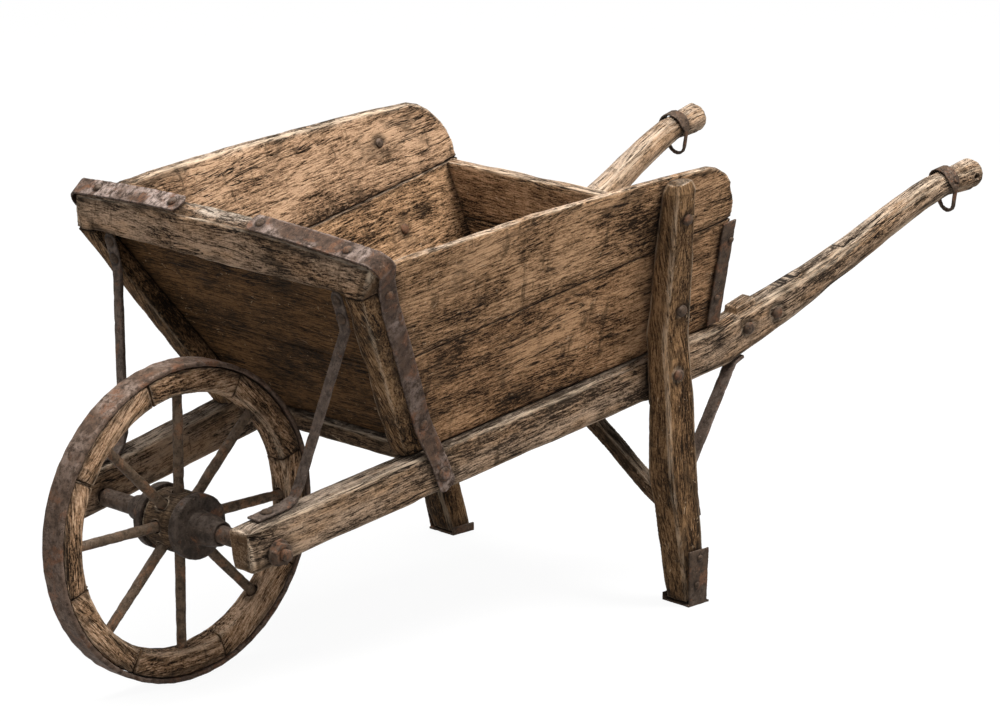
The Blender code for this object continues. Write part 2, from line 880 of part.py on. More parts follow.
def make_front():
    seam = 0.47 * CAP_LOW
    for name, low, high in (
        ("front_board_lower", None, seam - GAP / 2),
        ("front_board_upper", seam + GAP / 2, CAP_LOW),
    ):
        rings = []
        for side in (-1, 1):
            ring = []
            for depth, up in ((0.0, low), (BOARD_THICK, low), (BOARD_THICK, high), (0.0, high)):
                if up is None:
                    up = up_to(depth, GAP)
                u, w = front(depth, up)
                ring.append(Vector((u, side * (side_in(u, w) - TWIST_GAP), w)))
            rings.append(ring)
        sheared_board(name, rings, OAK_DARK)
    # A post stands in front of the boards at each end, flush with the side's outer face.
    rings = []
    stations = 4
    for i in range(stations + 1):
        share = i / stations
        ring = []
        for front_face, inset in ((True, GAP), (True, BATTEN_WIDE), (False, BATTEN_WIDE), (False, GAP)):
            depth = -lerp(BATTEN_FOOT, CAP_OVERHANG, share) if front_face else -GAP
            top = CAP_LOW + CAP_LIFT * min(1.0, -depth / CAP_OVERHANG)
            u, w = front(depth, lerp(up_to(depth, GAP), top, share))
            ring.append(Vector((u, -(side_out(u, w) - inset), w)))
        rings.append(ring)
    twin(sheared_board("front_batten_left", rings, OAK_DARK))
    # The cap rail lies on the boards and battens, crowned in the middle, proud of the front and
    # rounded at its ends for the straps.
    stations = [(lerp(-1.0, 1.0, i / CAP_STEPS), 0.0) for i in range(CAP_STEPS + 1)]
    for i in range(1, BEND_STEPS + 1):
        angle = math.radians(90 * i / BEND_STEPS)
        stations.insert(0, (-1.0, angle))
        stations.append((1.0, angle))
    low = CAP_END - CAP_HEIGHT
    rings = []
    for share, angle in stations:
        ring = []
        for depth, up in (
            (0.0, None),
            (CAP_DEPTH, None),
            (CAP_DEPTH, low),
            (0.0, low),
            (-CAP_OVERHANG, low + CAP_LIFT),
        ):
            u, w = front(depth, CAP_END if up is None else up)
            reach = side_out(u, w) - STRAP_BEND + (STRAP_BEND - GAP) * math.sin(angle)
            y = share * reach
            if up is None:
                rounded = (STRAP_BEND - GAP) * (1 - math.cos(angle))
                u, w = front(depth, cap_top(abs(y) if angle == 0.0 else cap_turn_y()) - rounded)
            ring.append(Vector((u, y, w)))
        rings.append(ring)
    add_object("front_cap_rail", loft(rings), TOP_PLANE, OAK)


def make_tail():
    seam = 0.5 * TAIL_TOP_W
    for name, low, high in (
        ("tail_board_lower", GAP, seam - GAP / 2),
        ("tail_board_upper", seam + GAP / 2, TAIL_TOP_W),
    ):
        rings = []
        for side in (-1, 1):
            ring = []
            for u, w in (
                (TAIL_U, low),
                (TAIL_U + TAIL_THICK, low),
                (TAIL_U + TAIL_THICK, high),
                (TAIL_U, high),
            ):
                ring.append(Vector((u, side * (side_in(u, w) - TWIST_GAP), w)))
            rings.append(ring)
        sheared_board(name, rings, OAK)


# Legs

FOOT_U, FOOT_W = to_local(FOOT_X, FOOT_PLATE + GAP)

# Leg sections from the foot up: w, shift along the shafts, half width and thickness across
LEG_SECTIONS = (
    (-0.290, -0.0095, 0.0275, 0.0545),
    (-0.175, -0.0130, 0.0315, 0.0520),
    (-0.078, -0.0075, 0.0300, 0.0490),
    (0.040, 0.0045, 0.0285, 0.0455),
    (0.190, 0.0060, 0.0265, 0.0420),
    (0.279, 0.0045, 0.0235, 0.0365),
    (0.296, 0.0045, 0.0180, 0.0310),
)
LEG_SEAT_W = -0.078
LEG_RIGHT_TOP_W = 0.280
LEG_CORNER = 0.004


def leg_at(w):
    """Centre along the shafts, half width and thickness of the leg at height w."""
    rows = ((FOOT_W, 0.0, FOOT_HALF, 2 * FOOT_HALF), *LEG_SECTIONS)
    i = max(k for k in range(len(rows) - 1) if rows[k][0] <= max(w, FOOT_W))
    low, high = rows[i], rows[i + 1]
    share = (w - low[0]) / (high[0] - low[0])
    straight = lerp(FOOT_U, LEG_TOP_U, (w - FOOT_W) / (LEG_SECTIONS[-1][0] - FOOT_W))
    shift, half, thick = (lerp(low[k], high[k], share) for k in (1, 2, 3))
    return straight + shift, half, thick


def leg_in(u, w):
    """The leg's inner face: on the side boards, then the shaft, then sloping in to the foot."""
    if w >= LEG_SEAT_W:
        return max(side_out(u, w) + TWIST_GAP, shaft_out(u) + GAP)
    foot = FOOT_Y - FOOT_HALF
    return lerp(shaft_out(u) + GAP, foot, (LEG_SEAT_W - w) / (LEG_SEAT_W - FOOT_W))


def leg_ring(w, inset):
    """Eight points: a rectangle with its corners taken off."""
    centre, half, thick = leg_at(w)
    ring = []
    for du, inner, step_u, step_y in (
        (-1, True, 0, 1),
        (-1, True, 1, 0),
        (1, True, -1, 0),
        (1, True, 0, 1),
        (1, False, 0, -1),
        (1, False, -1, 0),
        (-1, False, 1, 0),
        (-1, False, 0, -1),
    ):
        u = centre + du * half + step_u * LEG_CORNER
        y = leg_in(u, w) + (inset if inner else thick) + step_y * LEG_CORNER
        ring.append(Vector((u, -y, w)))
    return ring


def foot_ring(z):
    """The leg's section at a level plane z above the ground."""
    corners = ((-1, -1), (-1, -1), (1, -1), (1, -1), (1, 1), (1, 1), (-1, 1), (-1, 1))
    steps = ((0, 1), (1, 0), (-1, 0), (0, 1), (0, -1), (-1, 0), (1, 0), (0, -1))
    made = []
    for (du, dy), (step_x, step_y) in zip(corners, steps):
        x = FOOT_X + du * FOOT_HALF + step_x * LEG_CORNER
        y = FOOT_Y + dy * FOOT_HALF + step_y * LEG_CORNER
        u, w = to_local(x, z)
        made.append(Vector((u, -y, w)))
    return made


def make_legs():
    rings = [foot_ring(FOOT_PLATE + GAP)]
    top = LEG_SECTIONS[-1][0]
    for row in LEG_SECTIONS:
        rings.append(leg_ring(row[0], 0.003 if row[0] == top else 0.0))
    obj = add_object("leg_left", loft(rings), TOP_PLANE, OAK)
    heads = []
    for w, shift in LEG_BOLTS:
        u, _, thick = leg_at(w)
        place = (u + shift, -leg_in(u, w) - thick + 0.0005, w)
        heads.append(stud(place, (0.0, -1.0, 0.12), LEG_BOLT_R, LEG_BOLT_HIGH))
    fuse(obj, heads)
    right = twin(obj)
    # The right leg's head stands lower than the side board.
    above = loft(
        [
            [
                Vector((LEG_TOP_U + du, y, w))
                for du, w in (
                    (-0.1, LEG_RIGHT_TOP_W),
                    (0.1, LEG_RIGHT_TOP_W),
                    (0.1, LEG_RIGHT_TOP_W + 0.1),
                    (-0.1, LEG_RIGHT_TOP_W + 0.1),
                )
            ]
            for y in (0.2, 0.5)
        ]
    )
    cut(right, [above])


def make_struts():
    """A wooden strut from each leg up to the middle bearer, in the plane of the legs."""
    top_w = -GAP - BEARER_HIGH - GAP
    high_w = STRUT_LOW_W + STRUT_HIGH
    rings = []
    middle = leg_at(STRUT_LOW_W)[0] + 0.004
    for u in (middle - STRUT_HALF, middle + STRUT_HALF):
        low_y = leg_in(u, STRUT_LOW_W) - 2 * GAP
        high_y = leg_in(u, high_w) - 2 * GAP
        ring = [
            Vector((u, -low_y, STRUT_LOW_W)),
            Vector((u, -GAP, STRUT_LOW_W + STRUT_RISE * (low_y - GAP))),
            Vector((u, -GAP, top_w)),
            Vector((u, -(high_y - (top_w - high_w) / STRUT_RISE), top_w)),
            Vector((u, -high_y, high_w)),
        ]
        rings.append(ring)
    obj = add_object("leg_strut_left", loft(rings), TOP_PLANE, OAK_DARK)
    bevel(obj, 0.0012)
    twin(obj)


def make_foot_irons():
    """A plate under each foot, with a lip inside and a nailed flange up the outer face."""
    x_front = FOOT_X - FOOT_HALF
    x_rear = FOOT_X + FOOT_HALF
    out = FOOT_Y + FOOT_HALF + GAP
    inner = FOOT_Y - FOOT_HALF - GAP
    thick = FOOT_PLATE
    top = FOOT_IRON_TOP
    centre, _, across = leg_at(LEG_SECTIONS[0][0])
    u, w = to_local(FOOT_X - 0.18 * top, top)
    share = (w - FOOT_W) / (LEG_SECTIONS[0][0] - FOOT_W)
    spread = lerp(FOOT_Y + FOOT_HALF, leg_in(centre, LEG_SECTIONS[0][0]) + across, share)
    shift = spread + 2 * GAP - out
    rings = []
    for z, x_low, x_high, y in (
        (0.0, x_front + 0.0030, x_rear - 0.0070, 0.0),
        (top, x_front - 0.0120, x_rear - 0.0170, shift),
    ):
        rings.append(
            [
                Vector((x_low + AXLE_X, -out - y - thick, z)),
                Vector((x_low + AXLE_X, -out - y, z)),
                Vector((x_high + AXLE_X, -out - y, z)),
                Vector((x_high + AXLE_X, -out - y - thick, z)),
            ]
        )
    plate = box(x_front - 0.001, x_rear - 0.001, -out - thick, -inner + thick, 0.0, thick)
    lip = box(x_front - 0.001, x_rear - 0.001, -inner, -inner + thick, 0.0, 0.014)
    obj = add_object("foot_iron_left", plate, None, IRON)
    fuse(obj, [loft(rings)])
    fuse(obj, [lip])
    twin(obj)


def box(x0, x1, y0, y1, z0, z1):
    """A box between limits, x behind the axle."""
    bm = bmesh.new()
    bmesh.ops.create_cube(bm, size=1.0)
    middle = Vector(((x0 + x1) / 2 + AXLE_X, (y0 + y1) / 2, (z0 + z1) / 2))
    bmesh.ops.scale(bm, vec=(x1 - x0, y1 - y0, z1 - z0), verts=bm.verts)
    bmesh.ops.translate(bm, vec=middle, verts=bm.verts)
    return mesh_from(bm)


# Flat iron

def strap_path(back):
    """The strap's line at a distance back from the front edge: (y, up, ahead) inside and outside."""

    def wall(up, ahead):
        u, w = front(back - ahead, up)
        return max(side_out(u, w), shaft_out(u)) + TWIST_GAP

    turn_up = cap_top(cap_turn_y()) + GAP
    turn_y = wall(turn_up, 0.0) - STRAP_BEND
    inner = []
    outer = []
    for i in range(6):
        y = lerp(STRAP_START_Y + TIP_LONG, turn_y, i / 5)
        inner.append((y, cap_top(y) + GAP, 0.0))
        outer.append((y, cap_top(y) + GAP + STRAP_THICK, 0.0))
    for i in range(1, BEND_STEPS + 1):
        angle = math.radians(90 * i / BEND_STEPS)
        for line, radius in ((inner, STRAP_BEND), (outer, STRAP_BEND + STRAP_THICK)):
            y = turn_y + radius * math.sin(angle)
            line.append((y, turn_up - STRAP_BEND + radius * math.cos(angle), 0.0))
    for up, ahead in STRAP_FALL:
        inner.append((wall(up, ahead), up, ahead))
        outer.append((wall(up, ahead) + STRAP_THICK, up, ahead))
    for line, lift in ((inner, 0.0), (outer, STRAP_THICK)):
        line.insert(0, (STRAP_START_Y, cap_top(STRAP_START_Y) + GAP + lift, 0.0))
        y, up, ahead = line[-1]
        line.append((y, up - TIP_LONG, ahead))
    return inner, outer


def strap_ahead(up):
    """How far ahead the strap runs at a height up the front edge."""
    for (high, above), (low, below) in zip(STRAP_FALL, STRAP_FALL[1:]):
        if low <= up <= high:
            return lerp(below, above, (up - low) / (high - low))
    return STRAP_FALL[-1][1]


def make_corner_straps():
    """A strap from the cap rail's top round the corner and down the side on to the shaft."""
    edges = (STRAP_SETBACK, STRAP_SETBACK + STRAP_WIDE)
    paths = [strap_path(back) for back in edges]
    count = len(paths[0][0])
    rings = []
    for i in range(count):
        inset = TIP_INSET if i in (0, count - 1) else 0.0
        ring = []
        for column, face in ((0, 0), (1, 0), (1, 1), (0, 1)):
            y, up, ahead = paths[column][face][i]
            back = edges[column] + (inset if column == 0 else -inset)
            u, w = front(back - ahead, up)
            ring.append(Vector((u, -y, w)))
        rings.append(ring)
    obj = add_object("corner_strap_left", loft(rings), TOP_PLANE, IRON)
    middle = (edges[0] + edges[1]) / 2
    heads = []
    for y in STRAP_TOP_RIVETS:
        u, w = front(middle, cap_top(y) + GAP + STRAP_THICK)
        facing = front(0.0, 1.0)
        heads.append(
            stud((u, -y, w), (facing[0] - FRONT_U, 0.0, facing[1]), RIVET_R, RIVET_HIGH, 8)
        )
    for up in STRAP_SIDE_RIVETS:
        u, w = front(middle - strap_ahead(up), up)
        y = side_out(u, w) + TWIST_GAP + STRAP_THICK
        heads.append(stud((u, -y, w), (0.0, -1.0, -0.3), RIVET_R, RIVET_HIGH, 8))
    u, w = front(middle - strap_ahead(STRAP_BOLT_UP), STRAP_BOLT_UP)
    y = shaft_out(u) + TWIST_GAP + STRAP_THICK
    heads.append(stud((u, -y, w), (0.0, -1.0, 0.0), STRAP_BOLT_R, STRAP_BOLT_HIGH))
    fuse(obj, heads)
    twin(obj)


def make_front_braces():
    """A bar from a foot on the shaft's top up to a bolted tab under the cap rail."""
    half = BRACE_WIDE / 2
    tab_u, tab_w = front(-0.6 * CAP_OVERHANG, CAP_END - CAP_HEIGHT + 0.6 * CAP_LIFT - 2 * GAP)
    facing = Vector((-math.cos(FRONT_LEAN), 0.0, -math.sin(FRONT_LEAN)))
    knee = Vector((BRACE_KNEE_U, -BRACE_KNEE_Y, BRACE_KNEE_W))
    tab = Vector((tab_u, -BRACE_TAB_Y, tab_w))
    foot_w = GAP + BRACE_THIN
    bars = [
        (Vector((-0.022, -0.188, GAP)), Vector((0.0, 0.0, 1.0)), BRACE_THIN, 1.5),
        (Vector((0.036, -0.191, GAP)), Vector((0.0, 0.0, 1.0)), BRACE_THIN, 1.5),
        (Vector((0.054, -0.193, GAP + 0.004)), Vector((-0.35, 0.0, 1.0)), BRACE_THICK, 1.0),
        (Vector((0.068, -0.196, GAP + 0.024)), Vector((-0.9, 0.0, 0.4)), BRACE_THICK, 1.0),
        (knee, Vector((-1.0, 0.0, 0.1)), BRACE_THICK, 1.0),
        (knee.lerp(tab, 0.30), facing, BRACE_THIN, 1.35),
        (knee.lerp(tab, 0.85), facing, BRACE_THIN, 1.35),
        (tab, facing, BRACE_THIN, 0.7),
    ]
    rings = []
    for point, normal, thick, wide in bars:
        side = Vector((0.0, half * wide, 0.0))
        rise = normal.normalized() * thick
        rings.append([point - side, point + side, point + side + rise, point - side + rise])
    obj = add_object("front_brace_left", loft(rings), TOP_PLANE, IRON)
    bevel(obj, 0.0012)
    heads = [stud((BRACE_BOLT_U, -BRACE_BOLT_Y, foot_w), (0, 0, 1), 0.0085, 0.005, 8)]
    for share in BRACE_TAB_BOLTS:
        heads.append(stud(knee.lerp(tab, share) + facing * BRACE_THIN, facing, 0.0065, 0.004, 8))
    fuse(obj, heads)
    twin(obj)


def make_rear_irons():
    """A flat iron up each side's rear edge."""
    rings = []
    for w in (0.004, 0.040, 0.110, 0.178):
        rear = rear_u(w)
        ring = []
        for u, lift in (
            (rear - 0.023, TWIST_GAP),
            (rear + 0.004, TWIST_GAP),
            (rear + 0.004, TWIST_GAP + 0.005),
            (rear - 0.023, TWIST_GAP + 0.005),
        ):
            ring.append(Vector((u, -side_out(u, w) - lift, w)))
        rings.append(ring)
    obj = add_object("rear_iron_left", loft(rings), TOP_PLANE, IRON)
    bevel(obj, 0.0012)
    twin(obj)


def shaft_under(x):
    """(u, w) of the shaft's underside at its station x, and which way that face looks."""
    high = handle_at(x)[1]
    along = (shaft_centre(x + 0.002) - shaft_centre(x - 0.002)).normalized()
    down = Vector((along.z, 0.0, -along.x))
    point = shaft_centre(x) + down * (high + 2 * GAP)
    beyond = point + down
    u, w = to_local(point.x, point.z)
    next_u, next_w = to_local(beyond.x, beyond.z)
    return (u, w), (next_u - u, 0.0, next_w - w)


def make_leg_braces():
    """A flat iron stay from under each shaft to the rear face of its leg."""

    def rear_face(w):
        centre, wide, _ = leg_at(w)
        return centre + wide + 2 * GAP

    pad_end, pad_down = shaft_under(STAY_PAD_X)
    bend, bend_down = shaft_under(STAY_BEND_X)
    rings = []
    for (u, w), y, normal in (
        (pad_end, 0.258, pad_down),
        (bend, 0.259, bend_down),
        ((rear_face(-0.190) + 0.004, -0.186), 0.279, (1, 0, -0.45)),
        ((rear_face(-0.205), -0.205), 0.280, (1, 0, -0.15)),
        ((rear_face(-0.270), -0.270), 0.281, (1, 0, 0)),
    ):
        point = Vector((u, -y, w))
        rise = Vector(normal).normalized() * STAY_THICK
        side = Vector((0.0, STAY_HALF, 0.0))
        rings.append([point - side, point + side, point + side + rise, point - side + rise])
    obj = add_object("leg_brace_left", loft(rings), TOP_PLANE, IRON)
    bevel(obj, 0.001)
    twin(obj)


def make_handle_straps():
    """A band over each handle that narrows down its sides to a round loop below."""
    x = LOOP_X
    ends = (x - LOOP_BAND / 2, x, x + LOOP_BAND / 2)
    inner = max(max(handle_at(end)[1:3]) for end in ends) + 2 * GAP
    along = (shaft_centre(x + 0.01) - shaft_centre(x - 0.01)).normalized()
    up = Vector((-along.z, 0.0, along.x)).normalized()
    across = up.cross(along).normalized()
    centre = shaft_centre(x) + Vector((AXLE_X, 0.0, 0.0))
    side_angle = math.asin((inner - LOOP_R) / LOOP_DROP)
    outline = []
    for i in range(13):
        angle = lerp(-side_angle, math.pi + side_angle, i / 12)
        outline.append((inner * math.cos(angle), inner * math.sin(angle), 0.0))
    for i in range(7):
        angle = lerp(math.pi + side_angle, 2 * math.pi - side_angle, i / 6)
        outline.append((LOOP_R * math.cos(angle), LOOP_R * math.sin(angle) - LOOP_DROP, 1.0))
    rings = []
    for side, lift, low in outline:
        middle = Vector((0.0, -LOOP_DROP * low, 0.0))
        out = (Vector((side, lift, 0.0)) - middle).normalized()
        thick = lerp(LOOP_BAND_THICK, LOOP_THICK, low)
        narrowed = max(low, min(1.0, 0.5 - lift / inner)) if lift < 0 else 0.0
        half = lerp(LOOP_BAND / 2, LOOP_HALF, narrowed)
        ring = []
        for reach, s in ((0, -half), (0, half), (thick, half), (thick, -half)):
            place = centre + across * (side + out.x * reach) + up * (lift + out.y * reach)
            ring.append(place + along * s)
        rings.append(ring)
    obj = add_object("handle_strap_left", loft(rings, around=True), None, IRON)
    bevel(obj, 0.0008)
    head = centre - across * (inner + 0.0030) - up * 0.001
    fuse(obj, [stud(head, -across, 0.0055, 0.003, 8)])
    twin(obj)


make_wheel()
make_axle()
make_nut()
make_shaft()
make_beams()
make_floor()
make_sides()
make_front()
make_tail()
make_legs()
make_struts()
make_foot_irons()
make_corner_straps()
make_front_braces()
make_rear_irons()
make_leg_braces()
make_handle_straps()

for part in PARTS.objects:
    if part.type == "MESH":
        part.data.shade_smooth()
        part.data.set_sharp_from_angle(angle=math.radians(35))
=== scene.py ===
"""The finish of an old wooden wheelbarrow with rusty iron fittings.

Every board, leg, shaft and felloe is worked over from its solid: its edges are worn down, its
surface gets low ripples along the grain, and each point is given its place in the wood (along
the grain, across it and through it), how near it is to an edge, to iron and to other wood. The
oak's colours follow those. The iron is pitted and rusted in the same way. Bolts, rivets and
nails are set by Geometry Nodes.
"""

import json
import math

import bmesh
import bpy
import numpy as np
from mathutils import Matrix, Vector
from mathutils.bvhtree import BVHTree
from mathutils.kdtree import KDTree


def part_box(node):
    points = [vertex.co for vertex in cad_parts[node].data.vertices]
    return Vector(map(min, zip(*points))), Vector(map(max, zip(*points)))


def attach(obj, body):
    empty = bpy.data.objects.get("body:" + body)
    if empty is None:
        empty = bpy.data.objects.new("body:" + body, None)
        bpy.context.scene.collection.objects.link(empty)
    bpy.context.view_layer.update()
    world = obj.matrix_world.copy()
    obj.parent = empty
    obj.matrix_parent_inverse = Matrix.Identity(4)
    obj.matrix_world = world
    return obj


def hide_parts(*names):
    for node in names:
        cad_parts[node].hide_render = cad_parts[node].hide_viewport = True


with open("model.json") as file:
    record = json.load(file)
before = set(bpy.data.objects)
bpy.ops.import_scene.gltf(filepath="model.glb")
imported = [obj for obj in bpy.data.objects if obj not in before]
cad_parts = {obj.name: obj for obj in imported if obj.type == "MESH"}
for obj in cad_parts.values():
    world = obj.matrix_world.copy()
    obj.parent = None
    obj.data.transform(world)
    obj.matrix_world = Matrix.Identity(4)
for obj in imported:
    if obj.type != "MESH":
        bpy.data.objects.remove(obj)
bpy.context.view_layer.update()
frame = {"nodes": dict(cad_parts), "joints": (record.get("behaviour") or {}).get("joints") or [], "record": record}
NODES = frame["nodes"]
JOINT = frame["joints"][0]
AXLE = Vector(JOINT["pos_m"])
FLOOR_MOUNT = next(m for m in frame["record"]["mounts"] if m["name"] == "tray_floor")

# Directions of the tray, which is square to the shafts: along them, across, and up from them
TRAY_UP = Vector(FLOOR_MOUNT["axis"]).normalized()
ACROSS = Vector((0.0, 1.0, 0.0))
ALONG = ACROSS.cross(TRAY_UP)
FRONT_LEAN = math.radians(24.8)
FRONT_UP = TRAY_UP * math.cos(FRONT_LEAN) - ALONG * math.sin(FRONT_LEAN)
FRONT_BACK = ALONG * math.cos(FRONT_LEAN) + TRAY_UP * math.sin(FRONT_LEAN)
SHAFT_TOP_HEIGHT = 0.2874
SHAFT_TOP = Vector((AXLE.x, 0.0, SHAFT_TOP_HEIGHT))


def tray_point(u, y, w):
    """A point u behind the axle along the shafts, y across and w above the shafts' top."""
    return SHAFT_TOP + u * ALONG + y * ACROSS + w * TRAY_UP


# Camera

VIEW_AZIMUTH = math.radians(-44.1528)
VIEW_ELEVATION = math.radians(14.922)
VIEW_DISTANCE = 7.04955
VIEW_TARGET = Vector((AXLE.x + 0.5915, -0.0598, 0.3817))
VIEW_BACK = Vector(
    (
        math.sin(VIEW_AZIMUTH) * math.cos(VIEW_ELEVATION),
        -math.cos(VIEW_AZIMUTH) * math.cos(VIEW_ELEVATION),
        math.sin(VIEW_ELEVATION),
    )
)
VIEW_TURN = (-VIEW_BACK).to_track_quat("-Z", "Y")
EYE = VIEW_TARGET + VIEW_BACK * VIEW_DISTANCE
LENS = 166.70
SENSOR = 36.0
PICTURE = (1000, 722)
FARTHEST = 60.0


def make_camera():
    camera = bpy.data.objects.new("camera", bpy.data.cameras.new("camera"))
    bpy.context.scene.collection.objects.link(camera)
    camera.data.sensor_width = SENSOR
    camera.data.lens = LENS
    camera.data.clip_end = FARTHEST
    camera.location = EYE
    camera.rotation_mode = "QUATERNION"
    camera.rotation_quaternion = VIEW_TURN
    bpy.context.scene.camera = camera


make_camera()


def sight(pixel):
    """The direction from the eye through a pixel of the picture."""
    reach = LENS / SENSOR * PICTURE[0]
    ray = Vector((pixel[0] - PICTURE[0] / 2, PICTURE[1] / 2 - pixel[1], -reach))
    return (VIEW_TURN @ ray).normalized()


class Recipe:
    """Short calls for building a node tree."""

    def __init__(self, tree):
        self.tree = tree
        self.nodes = tree.nodes

    def put(self, socket, value):
        if isinstance(value, bpy.types.NodeSocket):
            self.tree.links.new(value, socket)
        elif value is not None:
            socket.default_value = value

    def node(self, kind, inputs=(), **settings):
        made = self.nodes.new(kind)
        for key, value in settings.items():
            setattr(made, key, value)
        for key, value in dict(inputs).items():
            self.put(made.inputs[key], value)
        return made

    def math(self, operation, a, b=None, c=None):
        made = self.node("ShaderNodeMath", operation=operation)
        for index, value in enumerate((a, b, c)):
            self.put(made.inputs[index], value)
        return made.outputs[0]

    def times(self, a, b):
        return self.math("MULTIPLY", a, b)

    def swing(self, cloud, much, base):
        """The base, moved by much times how far the cloud's value is from its middle."""
        return self.math("MULTIPLY_ADD", self.math("SUBTRACT", cloud, 0.5), much, base)

    def vector(self, operation, a, b):
        made = self.node("ShaderNodeVectorMath", {0: a, 1: b}, operation=operation)
        return made.outputs[0]

    def noise(self, place, detail=2.0, rough=0.5, twist=0.0, colour=False):
        """Cloudy values from 0 to 1, one cloud to each unit of place."""
        inputs = {
            "Vector": place,
            "Scale": 1.0,
            "Detail": detail,
            "Roughness": rough,
            "Distortion": twist,
        }
        made = self.node("ShaderNodeTexNoise", inputs)
        return made.outputs["Color" if colour else "Fac"]

    def step(self, value, low, high, start=0.0, end=1.0):
        """A smooth step from start to end as value goes from low to high."""
        inputs = {0: value, 1: low, 2: high, 3: start, 4: end}
        made = self.node("ShaderNodeMapRange", inputs, interpolation_type="SMOOTHSTEP")
        return made.outputs[0]

    def mix(self, share, a, b):
        made = self.node("ShaderNodeMix", data_type="RGBA", clamp_result=True)
        self.put(made.inputs[0], share)
        self.put(made.inputs[6], (*a, 1.0) if isinstance(a, tuple) else a)
        self.put(made.inputs[7], (*b, 1.0) if isinstance(b, tuple) else b)
        return made.outputs[2]

    def attribute(self, name):
        return self.node("ShaderNodeAttribute", attribute_name=name, attribute_type="GEOMETRY")

    def facing_up(self, low, high, start=0.0, end=1.0):
        """A smooth step from start to end as the surface turns from low to high towards the sky."""
        normal = self.node("ShaderNodeTexCoord").outputs["Normal"]
        sky = self.node("ShaderNodeSeparateXYZ", {0: normal}).outputs["Z"]
        return self.step(sky, low, high, start, end)


def new_material(name):
    made = bpy.data.materials.new(name)
    made.use_nodes = True
    made.node_tree.nodes.clear()
    recipe = Recipe(made.node_tree)
    output = recipe.node("ShaderNodeOutputMaterial")
    shader = recipe.node("ShaderNodeBsdfPrincipled")
    made.node_tree.links.new(shader.outputs[0], output.inputs["Surface"])
    return made, recipe, shader


# Floor, backdrop and light

WHITE = (1.0, 1.0, 1.0, 1.0)
PAPER = (0.34, 0.34, 0.34, 1.0)
FLOOR_HALF = 30.0
FLOOR_DROP = 0.0005
# How brightly the floor glows to the camera and in gloss, and how much of it is that glow
FLOOR_GLOW = 1.17
GLOW_SHARE = 0.80
# The soft sky's strength below and overhead
SKY_LOW = 0.10
SKY_HIGH = 0.80
LAMP_AIM = (0.0, 0.0, 0.4)
# Lamps: name, place, width, power and colour
LAMPS = (
    ("key", (0.7, -1.9, 3.7), 1.5, 205.0, (1.0, 0.98, 0.95)),
    ("top", (-0.5, 0.7, 3.9), 2.0, 120.0, (1.0, 0.99, 0.97)),
    ("side", (-3.6, -1.2, 1.5), 1.8, 12.0, (0.95, 0.97, 1.0)),
)


def make_floor():
    bm = bmesh.new()
    bmesh.ops.create_grid(bm, x_segments=1, y_segments=1, size=FLOOR_HALF)
    bmesh.ops.translate(bm, vec=(0.0, 0.0, -FLOOR_DROP), verts=bm.verts)
    mesh = bpy.data.meshes.new("studio_floor")
    bm.to_mesh(mesh)
    bm.free()
    floor = bpy.data.objects.new("studio_floor", mesh)
    bpy.context.scene.collection.objects.link(floor)
    material = bpy.data.materials.new("studio_floor")
    material.use_nodes = True
    material.node_tree.nodes.clear()
    recipe = Recipe(material.node_tree)
    paper = recipe.node("ShaderNodeBsdfDiffuse", {"Color": PAPER})
    glow = recipe.node("ShaderNodeEmission", {"Color": WHITE, "Strength": FLOOR_GLOW})
    rays = recipe.node("ShaderNodeLightPath")
    seen = recipe.math("MAXIMUM", rays.outputs["Is Camera Ray"], rays.outputs["Is Glossy Ray"])
    share = recipe.times(seen, GLOW_SHARE)
    mixed = recipe.node("ShaderNodeMixShader", {0: share, 1: paper.outputs[0], 2: glow.outputs[0]})
    output = recipe.node("ShaderNodeOutputMaterial")
    recipe.put(output.inputs["Surface"], mixed.outputs[0])
    mesh.materials.append(material)


def make_world():
    world = bpy.data.worlds.new("studio")
    world.use_nodes = True
    world.node_tree.nodes.clear()
    recipe = Recipe(world.node_tree)
    place = recipe.node("ShaderNodeTexCoord").outputs["Generated"]
    up = recipe.node("ShaderNodeSeparateXYZ", {0: place}).outputs["Z"]
    strength = recipe.step(up, -0.25, 0.9, SKY_LOW, SKY_HIGH)
    seen = recipe.node("ShaderNodeLightPath").outputs["Is Camera Ray"]
    shown = recipe.node("ShaderNodeMapRange", {0: seen, 3: strength, 4: 1.0}).outputs[0]
    sky = recipe.node("ShaderNodeBackground", {"Color": WHITE, "Strength": shown})
    output = recipe.node("ShaderNodeOutputWorld")
    recipe.put(output.inputs["Surface"], sky.outputs[0])
    bpy.context.scene.world = world


def make_lamp(name, place, size, power, colour):
    lamp = bpy.data.lights.new(name, "AREA")
    lamp.shape = "DISK"
    lamp.size = size
    lamp.energy = power
    lamp.color = colour
    holder = bpy.data.objects.new(name, lamp)
    bpy.context.scene.collection.objects.link(holder)
    holder.location = place
    holder.rotation_mode = "QUATERNION"
    holder.rotation_quaternion = (Vector(LAMP_AIM) - Vector(place)).to_track_quat("-Z", "Y")


make_floor()
make_world()
for lamp in LAMPS:
    make_lamp(*lamp)
bpy.context.scene.view_settings.view_transform = "Standard"


# Oak

SPLIT_WIDTH = 0.0007
SPLIT_WANDER = 0.009
# What weather, rust and dirt turn the wood to
SILVER_DARK = (0.075, 0.058, 0.044)
SILVER_PALE = (0.46, 0.395, 0.33)
BLOTCH_BLACK = (0.027, 0.019, 0.012)
SMEAR_BROWN = (0.036, 0.022, 0.012)
RIM_BLACK = (0.026, 0.018, 0.011)
RUBBED_PALE = (0.62, 0.49, 0.36)
NICK_PALE = (0.52, 0.37, 0.24)
GROOVE_BLACK = (0.014, 0.008, 0.004)
END_BLACK = (0.030, 0.020, 0.012)
RUST_BLACK = (0.016, 0.011, 0.008)
DIRT_BLACK = (0.018, 0.012, 0.008)
SEAM_BLACK = (0.008, 0.005, 0.003)
CRACK_BLACK = (0.006, 0.004, 0.003)


